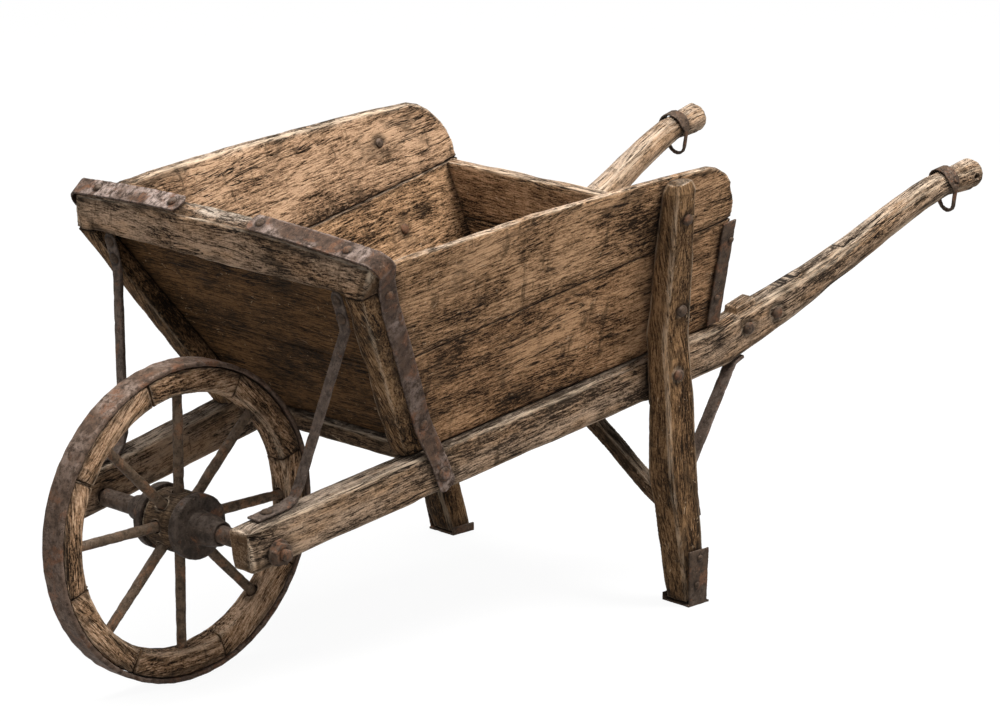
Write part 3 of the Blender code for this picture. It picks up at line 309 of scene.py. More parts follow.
def split_mask(recipe, board, number, start, end):
    """1 inside a crack that wanders from start to end, each along and across the board."""
    place = recipe.node("ShaderNodeSeparateXYZ", {0: board}).outputs
    share = recipe.node("ShaderNodeMapRange", {0: place["X"], 1: start[0], 2: end[0]}).outputs[0]
    line = recipe.node("ShaderNodeMapRange", {0: share, 3: start[1], 4: end[1]}).outputs[0]
    shaken = recipe.vector("MULTIPLY", board, (55.0, 0.0, 0.0))
    shaken = recipe.vector("ADD", shaken, (0.0, 7.3 * number, 0.0))
    ragged = recipe.noise(shaken, detail=3.0)
    line = recipe.swing(ragged, SPLIT_WANDER, line)
    away = recipe.math("ABSOLUTE", recipe.math("SUBTRACT", place["Y"], line))
    open_at = recipe.times(share, recipe.math("SUBTRACT", 1.0, share))
    width = recipe.times(recipe.math("POWER", open_at, 0.4), SPLIT_WIDTH * 1.75)
    inside = recipe.math("SUBTRACT", width, away)
    return recipe.step(inside, -0.0002, 0.0005)


def oak(
    name,
    light=(0.42, 0.255, 0.145),
    middle=(0.205, 0.116, 0.060),
    dark=(0.018, 0.010, 0.005),
    grey=0.0,
    bleach=0.5,
    stain=0.5,
    worn=0.7,
    soot=0.8,
    splits=(),
):
    """Weathered oak.

    light, middle and dark are the wood's own colours, which for the front boards also hold painted
    shade; grey is how far it has silvered, bleach how far its upward faces have, stain how much of
    it dark blotches cover, worn how far its edges have paled, and soot how black it is at joints.
    splits are long open cracks, each from and to a place along and across the board.
    """
    material, recipe, shader = new_material(name)
    board = recipe.attribute("grain").outputs["Vector"]
    lot = recipe.attribute("lot").outputs["Vector"]
    grain = recipe.vector("ADD", board, lot)

    def stretched(along, across, place=grain):
        return recipe.vector("MULTIPLY", place, (along, across, across))

    wander = recipe.noise(stretched(4.0, 9.0), detail=3.0, colour=True)
    wander = recipe.vector("SUBTRACT", wander, (0.5,) * 3)
    wander = recipe.vector("MULTIPLY", wander, (0, 0.026, 0.026))
    bent = recipe.vector("ADD", grain, wander)
    # Year lines are the contours of a slow field, and fibres are long thin clouds
    field = recipe.noise(stretched(1.6, 12.0, bent), detail=1.0, rough=0.35)
    wave = recipe.math("SINE", recipe.times(field, 230.0))
    coarse = recipe.noise(stretched(24.0, 300.0, bent), detail=4.0, rough=0.68)
    fine = recipe.noise(stretched(75.0, 640.0, bent), detail=2.0, rough=0.6)
    speckle = recipe.noise(stretched(260.0, 420.0), detail=2.0, rough=0.7)
    tone = recipe.noise(stretched(6.0, 13.0), detail=4.0, rough=0.6)
    ridge = recipe.step(coarse, 0.51, 0.64)
    groove = recipe.times(ridge, recipe.step(fine, 0.40, 0.58))
    balance = recipe.math("MULTIPLY_ADD", coarse, -1.7, 1.37)
    balance = recipe.swing(fine, -1.7, balance)
    balance = recipe.swing(tone, -2.1, balance)
    balance = recipe.swing(speckle, -1.3, balance)
    balance = recipe.math("MULTIPLY_ADD", wave, 0.075, balance)
    colour = recipe.mix(recipe.step(balance, 0.10, 0.52), dark, middle)
    colour = recipe.mix(recipe.step(balance, 0.48, 1.02), colour, light)
    # Silvered wood, most where the face looks up
    skyward = recipe.times(recipe.facing_up(0.35, 0.95), bleach)
    patchy = recipe.noise(stretched(9.0, 26.0), detail=5.0, rough=0.65)
    silver = recipe.times(recipe.step(patchy, 0.34, 0.62, 0.25, 1.0), grey)
    bleached = recipe.times(skyward, recipe.step(patchy, 0.30, 0.52))
    silver = recipe.math("MAXIMUM", silver, bleached)
    pale = recipe.mix(recipe.step(balance, 0.05, 0.85), SILVER_DARK, SILVER_PALE)
    colour = recipe.mix(silver, colour, pale)
    # Black blotches, and smears that run across the grain
    blotch = recipe.noise(stretched(10.0, 17.0), detail=8.0, rough=0.74, twist=0.5)
    blotches = recipe.step(blotch, 0.63 - 0.17 * stain, 0.72 - 0.17 * stain)
    blotches = recipe.times(blotches, recipe.step(speckle, 0.62, 0.36, 0.35, 1.0))
    colour = recipe.mix(recipe.times(blotches, 0.66), colour, BLOTCH_BLACK)
    smear = recipe.noise(stretched(48.0, 13.0), detail=6.0, rough=0.70)
    smears = recipe.step(smear, 0.63 - 0.12 * stain, 0.74 - 0.12 * stain)
    colour = recipe.mix(recipe.times(smears, 0.62), colour, SMEAR_BROWN)
    # Worn edges with a dark rim behind them, and pale nicks
    edge = recipe.attribute("edge").outputs["Fac"]
    rim = recipe.times(recipe.step(edge, 0.02, 0.30), recipe.step(edge, 0.75, 0.45))
    rim = recipe.times(rim, recipe.step(blotch, 0.42, 0.56))
    colour = recipe.mix(recipe.times(rim, 0.6 * soot), colour, RIM_BLACK)
    rubbed = recipe.step(edge, 0.50, 0.88)
    rubbed = recipe.times(rubbed, recipe.step(coarse, 0.66, 0.44, 0.2, 1.0))
    rubbed = recipe.times(rubbed, recipe.step(patchy, 0.36, 0.56, 0.15, 1.0))
    colour = recipe.mix(recipe.times(rubbed, worn), colour, RUBBED_PALE)
    nick = recipe.noise(stretched(62.0, 95.0), detail=3.0, rough=0.6, twist=1.2)
    nicks = recipe.step(nick, 0.665, 0.70)
    colour = recipe.mix(recipe.times(nicks, 0.55), colour, NICK_PALE)
    # Grooves and open cracks
    colour = recipe.mix(recipe.times(groove, 0.55), colour, GROOVE_BLACK)
    split_field = recipe.noise(stretched(2.6, 42.0, bent), detail=4.0, rough=0.58)
    off = recipe.math("ABSOLUTE", recipe.math("SUBTRACT", split_field, 0.5))
    where = recipe.step(recipe.noise(stretched(4.0, 11.0), detail=2.0), 0.49, 0.56)
    crack = recipe.times(recipe.step(off, 0.013, 0.003), where)
    ends = recipe.step(recipe.attribute("end").outputs["Fac"], 0.55, 0.85)
    end_colour = recipe.mix(recipe.step(tone, 0.35, 0.65), END_BLACK, middle)
    colour = recipe.mix(recipe.times(ends, 0.55), colour, end_colour)
    for number, split in enumerate(splits):
        crack = recipe.math("MAXIMUM", crack, split_mask(recipe, board, number, *split))
    # The black of rust and dirt in the joints
    broken = recipe.step(recipe.noise(stretched(30.0, 70.0), detail=4.0, rough=0.7), 0.34, 0.58)
    rusted = recipe.times(recipe.attribute("iron").outputs["Fac"], broken)
    colour = recipe.mix(recipe.times(rusted, soot), colour, RUST_BLACK)
    joint = recipe.attribute("joint").outputs["Fac"]
    dirty = recipe.times(joint, broken)
    colour = recipe.mix(recipe.times(dirty, 0.9 * soot), colour, DIRT_BLACK)
    colour = recipe.mix(recipe.times(recipe.step(joint, 0.82, 0.97), 0.85), colour, SEAM_BLACK)
    colour = recipe.mix(recipe.times(crack, 0.95), colour, CRACK_BLACK)
    recipe.put(shader.inputs["Base Color"], colour)
    recipe.put(shader.inputs["Roughness"], recipe.step(coarse, 0.3, 0.7, 0.74, 0.95))
    shader.inputs["Specular IOR Level"].default_value = 0.08
    height = recipe.times(coarse, -2.2)
    height = recipe.math("MULTIPLY_ADD", fine, -0.9, height)
    height = recipe.math("MULTIPLY_ADD", groove, -0.8, height)
    height = recipe.math("MULTIPLY_ADD", crack, -2.2, height)
    height = recipe.math("MULTIPLY_ADD", speckle, -0.5, height)
    bump = recipe.node("ShaderNodeBump", {"Strength": 0.85, "Distance": 0.0012, "Height": height})
    recipe.put(shader.inputs["Normal"], bump.outputs[0])
    return material


# Rusty iron

SPECK_PALE = (0.33, 0.235, 0.18)
PIT_BLACK = (0.012, 0.008, 0.006)
# The dark of dirt and painted contact shadow round studs
STUD_SHADOW_AND_GRIME_BLACK = (0.010, 0.006, 0.004)


def iron(
    name,
    base=(0.080, 0.051, 0.033),
    rust=(0.155, 0.070, 0.036),
    rub_and_painted_sheen=(0.200, 0.162, 0.140),
    rusty=0.5,
    rubbed=0.5,
    pits=0.6,
    glossy=0.55,
):
    """Forged iron: a dark skin, patches of red rust, and a pale grey on its high spots and worn edges, part rubbed
    metal and part a painted highlight of the sky on faces that look up.
    """
    material, recipe, shader = new_material(name)
    place = recipe.node("ShaderNodeTexCoord").outputs["Object"]

    def clouds(size, detail=4.0, rough=0.6, twist=0.0):
        scaled = recipe.vector("MULTIPLY", place, (1.0 / size,) * 3)
        return recipe.noise(scaled, detail=detail, rough=rough, twist=twist)

    patches = clouds(0.030, detail=5.0, rough=0.66, twist=0.5)
    specks = clouds(0.0045, detail=3.0, rough=0.65)
    pit_field = clouds(0.0030, detail=2.0, rough=0.5)
    broad = clouds(0.075, detail=3.0)
    mottle = clouds(0.011, detail=5.0, rough=0.7)
    rusting = recipe.step(patches, 0.62 - 0.22 * rusty, 0.76 - 0.22 * rusty)
    rusting = recipe.times(rusting, recipe.step(specks, 0.32, 0.60, 0.35, 1.0))
    high = recipe.step(broad, 0.40, 0.64)
    high = recipe.times(high, recipe.step(mottle, 0.38, 0.62))
    edge = recipe.attribute("edge").outputs["Fac"]
    worn = recipe.times(edge, recipe.step(mottle, 0.35, 0.6, 0.0, 0.6))
    high = recipe.math("MAXIMUM", high, worn)
    # Only faces that look up keep it: a painted highlight of the sky, lighter on top and dark on the sides.
    high = recipe.times(high, recipe.facing_up(0.20, 0.80, 0.40, 1.0))
    colour = recipe.mix(recipe.step(mottle, 0.34, 0.64), tuple(0.42 * c for c in base), base)
    # The pale grey mixed in here is rubbed metal and a painted reflection of the sky in one.
    colour = recipe.mix(recipe.times(high, rubbed), colour, rub_and_painted_sheen)
    colour = recipe.mix(recipe.times(rusting, 0.85), colour, rust)
    bright = recipe.step(specks, 0.62, 0.72)
    colour = recipe.mix(recipe.times(bright, 0.35), colour, SPECK_PALE)
    pitted = recipe.step(pit_field, 0.58, 0.68)
    colour = recipe.mix(recipe.times(pitted, pits), colour, PIT_BLACK)
    # A dark ring at each stud's rim: dirt and a painted contact shadow under its head.
    stud_shadow_and_grime = recipe.attribute("stud_shadow_and_grime").outputs["Fac"]
    colour = recipe.mix(recipe.times(stud_shadow_and_grime, 0.85), colour, STUD_SHADOW_AND_GRIME_BLACK)
    recipe.put(shader.inputs["Base Color"], colour)
    recipe.put(shader.inputs["Metallic"], recipe.times(high, glossy))
    recipe.put(shader.inputs["Roughness"], recipe.math("MULTIPLY_ADD", high, -0.25, 0.76))
    shader.inputs["Specular IOR Level"].default_value = 0.2
    height = recipe.math("MULTIPLY_ADD", pitted, -0.7, recipe.times(specks, 0.5))
    height = recipe.math("MULTIPLY_ADD", mottle, 0.8, height)
    bump = recipe.node("ShaderNodeBump", {"Strength": 0.7, "Distance": 0.0011, "Height": height})
    recipe.put(shader.inputs["Normal"], bump.outputs[0])
    return material


# Working over the solids

# How near corners are merged, and how far apart points along an edge are taken
WELD = 2e-5
EDGE_STEP = 0.003
# Big primes that turn a knot's place into its random value
KNOT_PRIMES = (73856093, 19349663, 83492791)
KNOT_MIX = 1274126177


def cloud_values(points, seed):
    """Smooth random values from 0 to 1 at points, one knot to each unit."""
    points = np.asarray(points, np.float64) + 17.31 * seed
    cell = np.floor(points).astype(np.int64)
    part = points - cell
    part = part * part * (3.0 - 2.0 * part)
    total = np.zeros(len(points))
    for corner in range(8):
        step = np.array([corner & 1, (corner >> 1) & 1, corner >> 2])
        knot = cell + step
        mixed = np.bitwise_xor.reduce(knot * np.array(KNOT_PRIMES), axis=1)
        mixed = (mixed ^ (mixed >> 13)) * KNOT_MIX
        value = ((mixed ^ (mixed >> 16)) & 0xFFFF) / 65535.0
        weight = np.where(step == 1, part, 1.0 - part).prod(axis=1)
        total += weight * value
    return total


def merged(nodes):
    """A closed bmesh of the nodes' solids."""
    bm = bmesh.new()
    for node in nodes:
        bm.from_mesh(NODES[node].data)
    bmesh.ops.remove_doubles(bm, verts=bm.verts, dist=WELD)
    return bm


def edge_tree(bm, sharp, leave=None):
    """A tree of points along the solid's sharp outer edges but those to leave, or None."""
    found = []
    for edge in bm.edges:
        if len(edge.link_faces) != 2 or edge.calc_face_angle_signed(0.0) < sharp:
            continue
        start, end = (vert.co for vert in edge.verts)
        steps = max(1, int((end - start).length / EDGE_STEP))
        along = [start.lerp(end, k / steps) for k in range(steps + 1)]
        found += [point for point in along if not (leave and leave(point))]
    tree = KDTree(max(1, len(found)))
    for index, point in enumerate(found):
        tree.insert(point, index)
    tree.balance()
    return tree if found else None


def plain_mesh(obj):
    """The object with its modifiers applied."""
    graph = bpy.context.evaluated_depsgraph_get()
    made = bpy.data.meshes.new_from_object(obj.evaluated_get(graph))
    obj.modifiers.clear()
    obj.data = made
    return made


def remeshed(name, bm, voxel, soften):
    """The solid with small even faces, all of them on its own surface."""
    mesh = bpy.data.meshes.new(name)
    bm.to_mesh(mesh)
    obj = bpy.data.objects.new(name, mesh)
    solid = bpy.data.objects.new(name + "_solid", mesh)
    for made in (obj, solid):
        bpy.context.scene.collection.objects.link(made)
    close = obj.modifiers.new("even faces", "REMESH")
    close.mode = "VOXEL"
    close.voxel_size = voxel
    close.use_smooth_shade = True
    smooth = obj.modifiers.new("soften", "SMOOTH")
    smooth.factor = 0.5
    smooth.iterations = soften
    back = obj.modifiers.new("back on the solid", "SHRINKWRAP")
    back.wrap_method = "NEAREST_SURFACEPOINT"
    back.target = solid
    plain_mesh(obj)
    bpy.data.objects.remove(solid)
    return obj


def bored(obj, start, end, radius):
    """Cuts a round hole from start to end into the piece."""
    start = Vector(start)
    end = Vector(end)
    bm = bmesh.new()
    bmesh.ops.create_cone(
        bm, cap_ends=True, segments=20, radius1=radius, radius2=radius, depth=(end - start).length
    )
    turn = (end - start).to_track_quat("Z", "Y").to_matrix()
    bmesh.ops.rotate(bm, cent=(0, 0, 0), matrix=turn, verts=bm.verts)
    bmesh.ops.translate(bm, vec=(start + end) / 2, verts=bm.verts)
    mesh = bpy.data.meshes.new("drill")
    bm.to_mesh(mesh)
    bm.free()
    drill = bpy.data.objects.new("drill", mesh)
    bpy.context.scene.collection.objects.link(drill)
    hole = obj.modifiers.new("hole", "BOOLEAN")
    hole.operation = "DIFFERENCE"
    hole.solver = "MANIFOLD"
    hole.object = drill
    plain_mesh(obj)
    bpy.data.objects.remove(drill)


def surface(obj):
    """Vertex places and normals as arrays."""
    count = len(obj.data.vertices)
    place = np.empty(count * 3, np.float32)
    normal = np.empty(count * 3, np.float32)
    obj.data.vertices.foreach_get("co", place)
    obj.data.vertex_normals.foreach_get("vector", normal)
    return place.reshape(-1, 3).astype(np.float64), normal.reshape(-1, 3).astype(np.float64)


def store(obj, name, values):
    vector = values.ndim == 2
    made = obj.data.attributes.new(name, "FLOAT_VECTOR" if vector else "FLOAT", "POINT")
    made.data.foreach_set("vector" if vector else "value", values.astype(np.float32).ravel())


def nearness(places, tree, reach):
    """1 where a point touches what tree holds, falling to 0 at reach from it."""
    near = np.zeros(len(places))
    for index, place in enumerate(places if tree else ()):
        if isinstance(tree, KDTree):
            distance = tree.find(place)[2]
        else:
            distance = tree.find_nearest(place, reach)[3]
        if distance is not None and distance < reach:
            near[index] = 1.0 - distance / reach
    return near


def touching_tree(nodes):
    bm = merged(nodes)
    tree = BVHTree.FromBMesh(bm)
    bm.free()
    return tree


def node_box(node):
    low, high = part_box(node)
    return np.array(low), np.array(high)


def neighbours(node, others, reach):
    """Those of the other nodes whose boxes come within reach of this node's."""
    low, high = node_box(node)
    found = []
    for other in others:
        other_low, other_high = node_box(other)
        if np.all(other_low < high + reach) and np.all(low - reach < other_high):
            found.append(other)
    return found


WHEEL = frame["record"]["behaviour"]["bodies"]["wheel"]
SLOT_OF = {part["node"]: part["material_slot"] for part in frame["record"]["subparts"]}
CLASS_OF = {m["slot"]: m["class"] for m in frame["record"]["materials"]}
# The least turn at an outer edge that wears, and how far from it stains, wear and the painted shadow round studs
# reach
SHARP = math.radians(26)
SHAFT_SHARP = math.radians(27)
STAIN_REACH = 0.022
DIRT_REACH = 0.014
SPOT_REACH = 0.012
SEAM_REACH = 0.004
STUD_SHADOW_AND_GRIME_REACH = 0.0035
WEAR_REACH = 0.014
RUB_REACH = 0.004
# Ripples, hollows, chips and bites in the wood: how many to a metre along and across the grain
RIPPLES = (7.0, 85.0, 85.0)
HOLLOWS = (2.5, 16.0, 16.0)
CHIPS = (16.0, 34.0, 34.0)
BITES = (38.0, 75.0, 75.0)
SPLINTERS = 110.0
# A bent shaft's middle line: how far apart it is found, from how thick a slice
STATION_STEP = 0.02
STATION_INSET = 0.012
SLICE = 0.007
# A bump to level: how far below the face it ends, and the highest that it may be
LEVEL_SINK = 0.0005
BUMP_MOST = 0.02
# A head's seat is found by rays on a ring round its middle, from outside the piece
SEAT_RAYS = 8
SEAT_RING = 1.35
RAY_START = 0.2
RAY_REACH = 0.4


def body_of(node):
    return "wheel" if node in WHEEL else "barrow"


def is_iron(node):
    return CLASS_OF[SLOT_OF[node]] == "cast_iron"


def same_body(node):
    return [other for other in NODES if other != node and body_of(other) == body_of(node)]


def stain_and_dirt(obj, node, places, spots):
    """How near each point of a wooden piece is to iron, bolts at the spots too, and to other wood."""
    others = same_body(node)
    for name, reach, wanted in (("iron", STAIN_REACH, True), ("joint", DIRT_REACH, False)):
        near = [n for n in neighbours(node, others, reach) if is_iron(n) == wanted]
        values = np.zeros(len(places))
        if near:
            values = nearness(places, touching_tree(near), reach)
        for spot, radius in spots if wanted else ():
            away = np.linalg.norm(places - np.array(spot), axis=1)
            values = np.maximum(values, np.clip(1.0 - (away - radius) / SPOT_REACH, 0.0, 1.0))
        store(obj, name, values**1.5)


def finished(obj, node, material):
    obj.data.materials.clear()
    obj.data.materials.append(material)
    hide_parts(node)
    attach(obj, body_of(node))
    return obj


def straight_grain(origin, along, across):
    """Places in a straight board: along the grain, across it and through its thickness."""
    along = np.array(along)
    across = np.array(across)
    axes = np.stack([along, across, np.cross(along, across)], axis=1)

    def place_in_wood(places):
        return (places - np.array(origin)) @ axes

    place_in_wood.along = along
    return place_in_wood


def curved_grain(places):
    """Places in a bent shaft, whose grain follows its middle line."""
    stations = np.arange(
        places[:, 0].min() + STATION_INSET, places[:, 0].max() - STATION_INSET, STATION_STEP
    )
    middles = []
    for station in stations:
        near = places[np.abs(places[:, 0] - station) < SLICE]
        middles.append((near[:, 1:].min(axis=0) + near[:, 1:].max(axis=0)) / 2)
    middles = np.array(middles)
    ends = np.concatenate([middles[:1], middles[:1], middles, middles[-1:], middles[-1:]])
    middles = sum(ends[k : k + len(stations)] for k in range(5)) / 5
    y = np.interp(places[:, 0], stations, middles[:, 0])
    z = np.interp(places[:, 0], stations, middles[:, 1])
    return np.stack([places[:, 0], places[:, 2] - z, places[:, 1] - y], axis=1)


curved_grain.along = np.array((1.0, 0.0, 0.0))


def in_seam(node):
    """A test of whether a point lies against another wooden piece, where edges stay sharp."""
    wooden = [n for n in neighbours(node, NODES, SEAM_REACH) if n != node and not is_iron(n)]
    if not wooden:
        return None
    tree = touching_tree(wooden)
    return lambda point: tree.find_nearest(point, SEAM_REACH)[0] is not None


def weathered(
    node,
    material,
    grain,
    voxel=0.003,
    soften=4,
    wear=1.0,
    sharp=SHARP,
    leave=None,
    levelled=(),
    spots=(),
    gouges=(),
    hole=None,
):
    """The wooden node with worn edges and a rippled face, and the values that oak reads.

    levelled are bumps to flatten, spots are stained places, gouges are (place, radius, depth) of
    battered ones, and hole is (start, end, radius).
    """
    seed = sum(ord(letter) * (k + 1) for k, letter in enumerate(node)) % 97
    bm = merged([node])
    edges = edge_tree(bm, sharp, leave or in_seam(node))
    obj = remeshed(node + "_weathered", bm, voxel, soften)
    bm.free()
    places, normals = surface(obj)
    for centre, facing, radius in levelled:
        level_off(places, centre, facing, radius)
    obj.data.vertices.foreach_set("co", places.astype(np.float32).ravel())
    if hole:
        bored(obj, *hole)
        places, normals = surface(obj)
    wood = grain(places)
    close = nearness(places, edges, WEAR_REACH)
    ripple = cloud_values(wood * RIPPLES, seed)
    hollow = cloud_values(wood * HOLLOWS, seed + 1)
    chip = cloud_values(wood * CHIPS, seed + 2) ** 3
    bite = cloud_values(wood * BITES, seed + 3) ** 2
    depth = 0.0006 * ripple + 0.0010 * hollow**2
    depth += wear * close**2 * (0.0016 + 0.0052 * chip + 0.0026 * bite)
    for place, radius, deep in gouges:
        near = np.clip(1.0 - np.linalg.norm(places - np.array(place), axis=1) / radius, 0.0, 1.0)
        rough = cloud_values(places * SPLINTERS, seed + 4)
        depth += deep * near * (0.25 + 1.5 * rough**2)
    end = np.abs(normals @ grain.along)
    places -= normals * depth[:, None]
    obj.data.vertices.foreach_set("co", places.astype(np.float32).ravel())
    store(obj, "grain", wood)
    store(obj, "lot", np.tile(np.array([0.37, 0.21, 0.13]) * seed, (len(places), 1)))
    store(obj, "end", end)
    store(obj, "edge", close**1.3)
    spots = [*spots, *((centre, radius) for centre, _, radius in levelled)]
    stain_and_dirt(obj, node, places, spots)
    return finished(obj, node, material)


def forged(node, material, voxel=0.0014, soften=2, dents=0.0004, sharp=SHARP, studs=()):
    """The iron node with its arrises rubbed round and a beaten face, with dirt and a painted contact shadow in a
    ring round its studs.
    """
    seed = sum(ord(letter) for letter in node) % 97
    bm = merged([node])
    edges = edge_tree(bm, sharp)
    obj = remeshed(node + "_forged", bm, voxel, soften)
    bm.free()
    places, normals = surface(obj)
    close = nearness(places, edges, RUB_REACH)
    beaten = cloud_values(places * 60.0, seed)
    pitted = cloud_values(places * 260.0, seed + 1) ** 2
    nicks = cloud_values(places * 110.0, seed + 2) ** 3
    depth = dents * (beaten + 0.5 * pitted) + close * 0.0012 * nicks
    places -= normals * depth[:, None]
    obj.data.vertices.foreach_set("co", places.astype(np.float32).ravel())
    store(obj, "edge", close)
    # A dark ring at each stud's rim, dirt and painted contact shadow, which the iron reads.
    stud_shadow_and_grime = np.zeros(len(places))
    for centre, _, radius in studs:
        away = np.linalg.norm(places - np.array(centre), axis=1) - radius
        stud_shadow_and_grime = np.maximum(stud_shadow_and_grime, np.clip(1.0 - np.abs(away) / STUD_SHADOW_AND_GRIME_REACH, 0.0, 1.0))
    store(obj, "stud_shadow_and_grime", stud_shadow_and_grime)
    return finished(obj, node, material)


def level_off(places, centre, facing, radius):
    """Pushes the bump round centre back into the face that it stands on."""
    centre = np.array(centre)
    facing = np.array(facing)
    away = places - centre
    height = away @ facing
    aside = away - height[:, None] * facing
    inside = (np.linalg.norm(aside, axis=1) < radius) & (height > -LEVEL_SINK) & (height < BUMP_MOST)
    places[inside] -= (height[inside, None] + LEVEL_SINK) * facing


def seat(node, point, direction, radius):
    """Where a head of that radius sits on the node: its centre, which way it faces and its radius."""
    tree = touching_tree([node])
    direction = Vector(direction).normalized()
    side = direction.orthogonal().normalized()
    other = direction.cross(side)
    hits = []
    facing = Vector()
    for k in range(SEAT_RAYS):
        turn = math.tau * k / SEAT_RAYS
        ray = Vector(point) + SEAT_RING * radius * (math.cos(turn) * side + math.sin(turn) * other)
        hit, normal, _, _ = tree.ray_cast(ray - direction * RAY_START, direction, RAY_REACH)
        if hit:
            hits.append(hit)
            facing += normal
    return sum(hits, Vector()) / len(hits), facing.normalized(), radius


# Bolt heads, rivets and nails

UNEVENNESS = 0.05


def head_tree():
    """Domed heads on the points given: each stands along its facing and is as big as its size."""
    tree = bpy.data.node_groups.new("iron_heads", "GeometryNodeTree")
    tree.interface.new_socket("Points", in_out="INPUT", socket_type="NodeSocketGeometry")
    for name, value in (("Dome height", 0.5), ("Unevenness", UNEVENNESS)):
        socket = tree.interface.new_socket(name, in_out="INPUT", socket_type="NodeSocketFloat")
        socket.default_value = value
    tree.interface.new_socket("Iron", in_out="INPUT", socket_type="NodeSocketMaterial")
    tree.interface.new_socket("Heads", in_out="OUTPUT", socket_type="NodeSocketGeometry")
    recipe = Recipe(tree)
    given = recipe.node("NodeGroupInput").outputs
    ball = recipe.node("GeometryNodeMeshUVSphere", {"Segments": 20, "Rings": 12, "Radius": 1.0})
    flat = recipe.node("ShaderNodeCombineXYZ", {0: 1.0, 1: 1.0, 2: given["Dome height"]})
    dome = recipe.node("GeometryNodeTransform", {"Geometry": ball.outputs["Mesh"], "Scale": flat.outputs[0]})
    facing = recipe.node("GeometryNodeInputNamedAttribute", {"Name": "facing"}, data_type="FLOAT_VECTOR")
    size = recipe.node("GeometryNodeInputNamedAttribute", {"Name": "size"}, data_type="FLOAT")
    aim = recipe.node("FunctionNodeAlignRotationToVector", {"Vector": facing.outputs[0]}, axis="Z")
    spread = recipe.node("FunctionNodeRandomValue", {"Seed": 5}, data_type="FLOAT")
    recipe.put(spread.inputs[2], 0.93)
    recipe.put(spread.inputs[3], 1.07)
    scale = recipe.times(size.outputs[0], spread.outputs[1])
    placed = recipe.node(
        "GeometryNodeInstanceOnPoints",
        {
            "Points": given["Points"],
            "Instance": dome.outputs[0],
            "Rotation": aim.outputs[0],
            "Scale": scale,
        },
    )
    real = recipe.node("GeometryNodeRealizeInstances", {0: placed.outputs[0]})
    clouds = recipe.node("ShaderNodeTexNoise", {"Scale": 170.0, "Detail": 2.0})
    centred = recipe.vector("SUBTRACT", clouds.outputs["Color"], (0.5,) * 3)
    reach = recipe.times(given["Unevenness"], 0.02)
    shift = recipe.node("ShaderNodeVectorMath", {0: centred, 3: reach}, operation="SCALE")
    moved = {"Geometry": real.outputs[0], "Offset": shift.outputs[0]}
    uneven = recipe.node("GeometryNodeSetPosition", moved)
    smooth = recipe.node("GeometryNodeSetShadeSmooth", {"Geometry": uneven.outputs[0]})
    painted = recipe.node(
        "GeometryNodeSetMaterial", {"Geometry": smooth.outputs[0], "Material": given["Iron"]}
    )
    recipe.put(recipe.node("NodeGroupOutput").inputs[0], painted.outputs[0])
    return tree


def identifier(tree, name):
    return next(item.identifier for item in tree.interface.items_tree if item.name == name)


def heads(name, tree, seats, height, material):
    """One mesh of domed heads, from (centre, facing, radius) of each."""
    mesh = bpy.data.meshes.new(name)
    mesh.from_pydata([tuple(centre) for centre, _, _ in seats], [], [])
    obj = bpy.data.objects.new(name, mesh)
    bpy.context.scene.collection.objects.link(obj)
    store(obj, "facing", np.array([facing for _, facing, _ in seats]))
    store(obj, "size", np.array([radius for _, _, radius in seats]))
    made = obj.modifiers.new("heads", "NODES")
    made.node_group = tree
    made[identifier(tree, "Dome height")] = height
    made[identifier(tree, "Unevenness")] = UNEVENNESS
    made[identifier(tree, "Iron")] = material
    plain_mesh(obj)
    store(obj, "edge", np.zeros(len(obj.data.vertices)))
    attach(obj, "barrow")


SIDES = {"left": -1.0, "right": 1.0}

# Where the rays for the heads on the sides start, across
OUTSIDE = 0.45
STRAP_OUTSIDE = 0.28
# Bolt heads of the legs, as (u, w, radius), and of the shafts, as (x behind the axle, z, radius)
LEG_BOLTS = ((0.7271, -0.021, 0.0089), (0.7390, 0.080, 0.0089), (0.7359, 0.233, 0.0089))
SHAFT_BOLTS = ((0.912, 0.416, 0.0095), (0.971, 0.431, 0.0095))
LEVEL_MARGIN = 1.15
# Front braces: places as u, y and w in the shafts' frame
BRACE_FOOT = (0.004, 0.189)
BRACE_KNEE = (0.1465, 0.2513, 0.246)
BRACE_TAB = (0.1374, 0.250, 0.309)
BRACE_TAB_BOLTS = (0.35, 0.80)
BRACE_BOLT = 0.0086
# The axle's domed tips: their radius, and how far in from its ends they sit
AXLE_TIP = 0.0087
TIP_INSET = 0.0012
# The foot of the tray's front edge behind the axle, and a strap's middle line behind that edge
FRONT_EDGE = 0.300
STRAP_MIDDLE = 0.01725
STRAP_RIVET = 0.0072
STRAP_TOP_RIVETS = (0.097, 0.275)
STRAP_ABOVE = 0.45
# Heads on a strap's side: how far up, how far ahead and the radius
STRAP_SIDE_HEADS = ((0.328, 0.0060, 0.0072), (0.058, 0.0198, 0.0072), (-0.034, 0.0324, 0.0105))

# Nails, bolt ends and marks, by the pixels of the picture where they are seen
REAR_NAILS = ((731, 240), (717, 298))
FOOT_NAILS = ((700, 558), (697, 585))
HANDLE_NAIL = ((957, 180),)
NAIL = 0.0053
# What the nails hold, with the size of its faces
NAILED = (
    ("rear_iron", REAR_NAILS, 0.0013),
    ("foot_iron", FOOT_NAILS, 0.0013),
    ("handle_strap", HANDLE_NAIL, 0.0011),
)
INNER_BOLT = 0.0075
INNER_BOLT_STAIN = 0.010
INNER_BOLTS = {"side_upper_right": (379.5, 143), "side_lower_right": (405, 229)}
SHAFT_GOUGE = (719, 346)
# Battered places of a shaft: its tip, across and up, then how far each reaches and how deep
SHAFT_TIP = (0.21, 0.265)
TIP_WEAR = (0.034, 0.0085)
GOUGE_WEAR = (0.016, 0.0065)
MARK_STAIN = 0.004
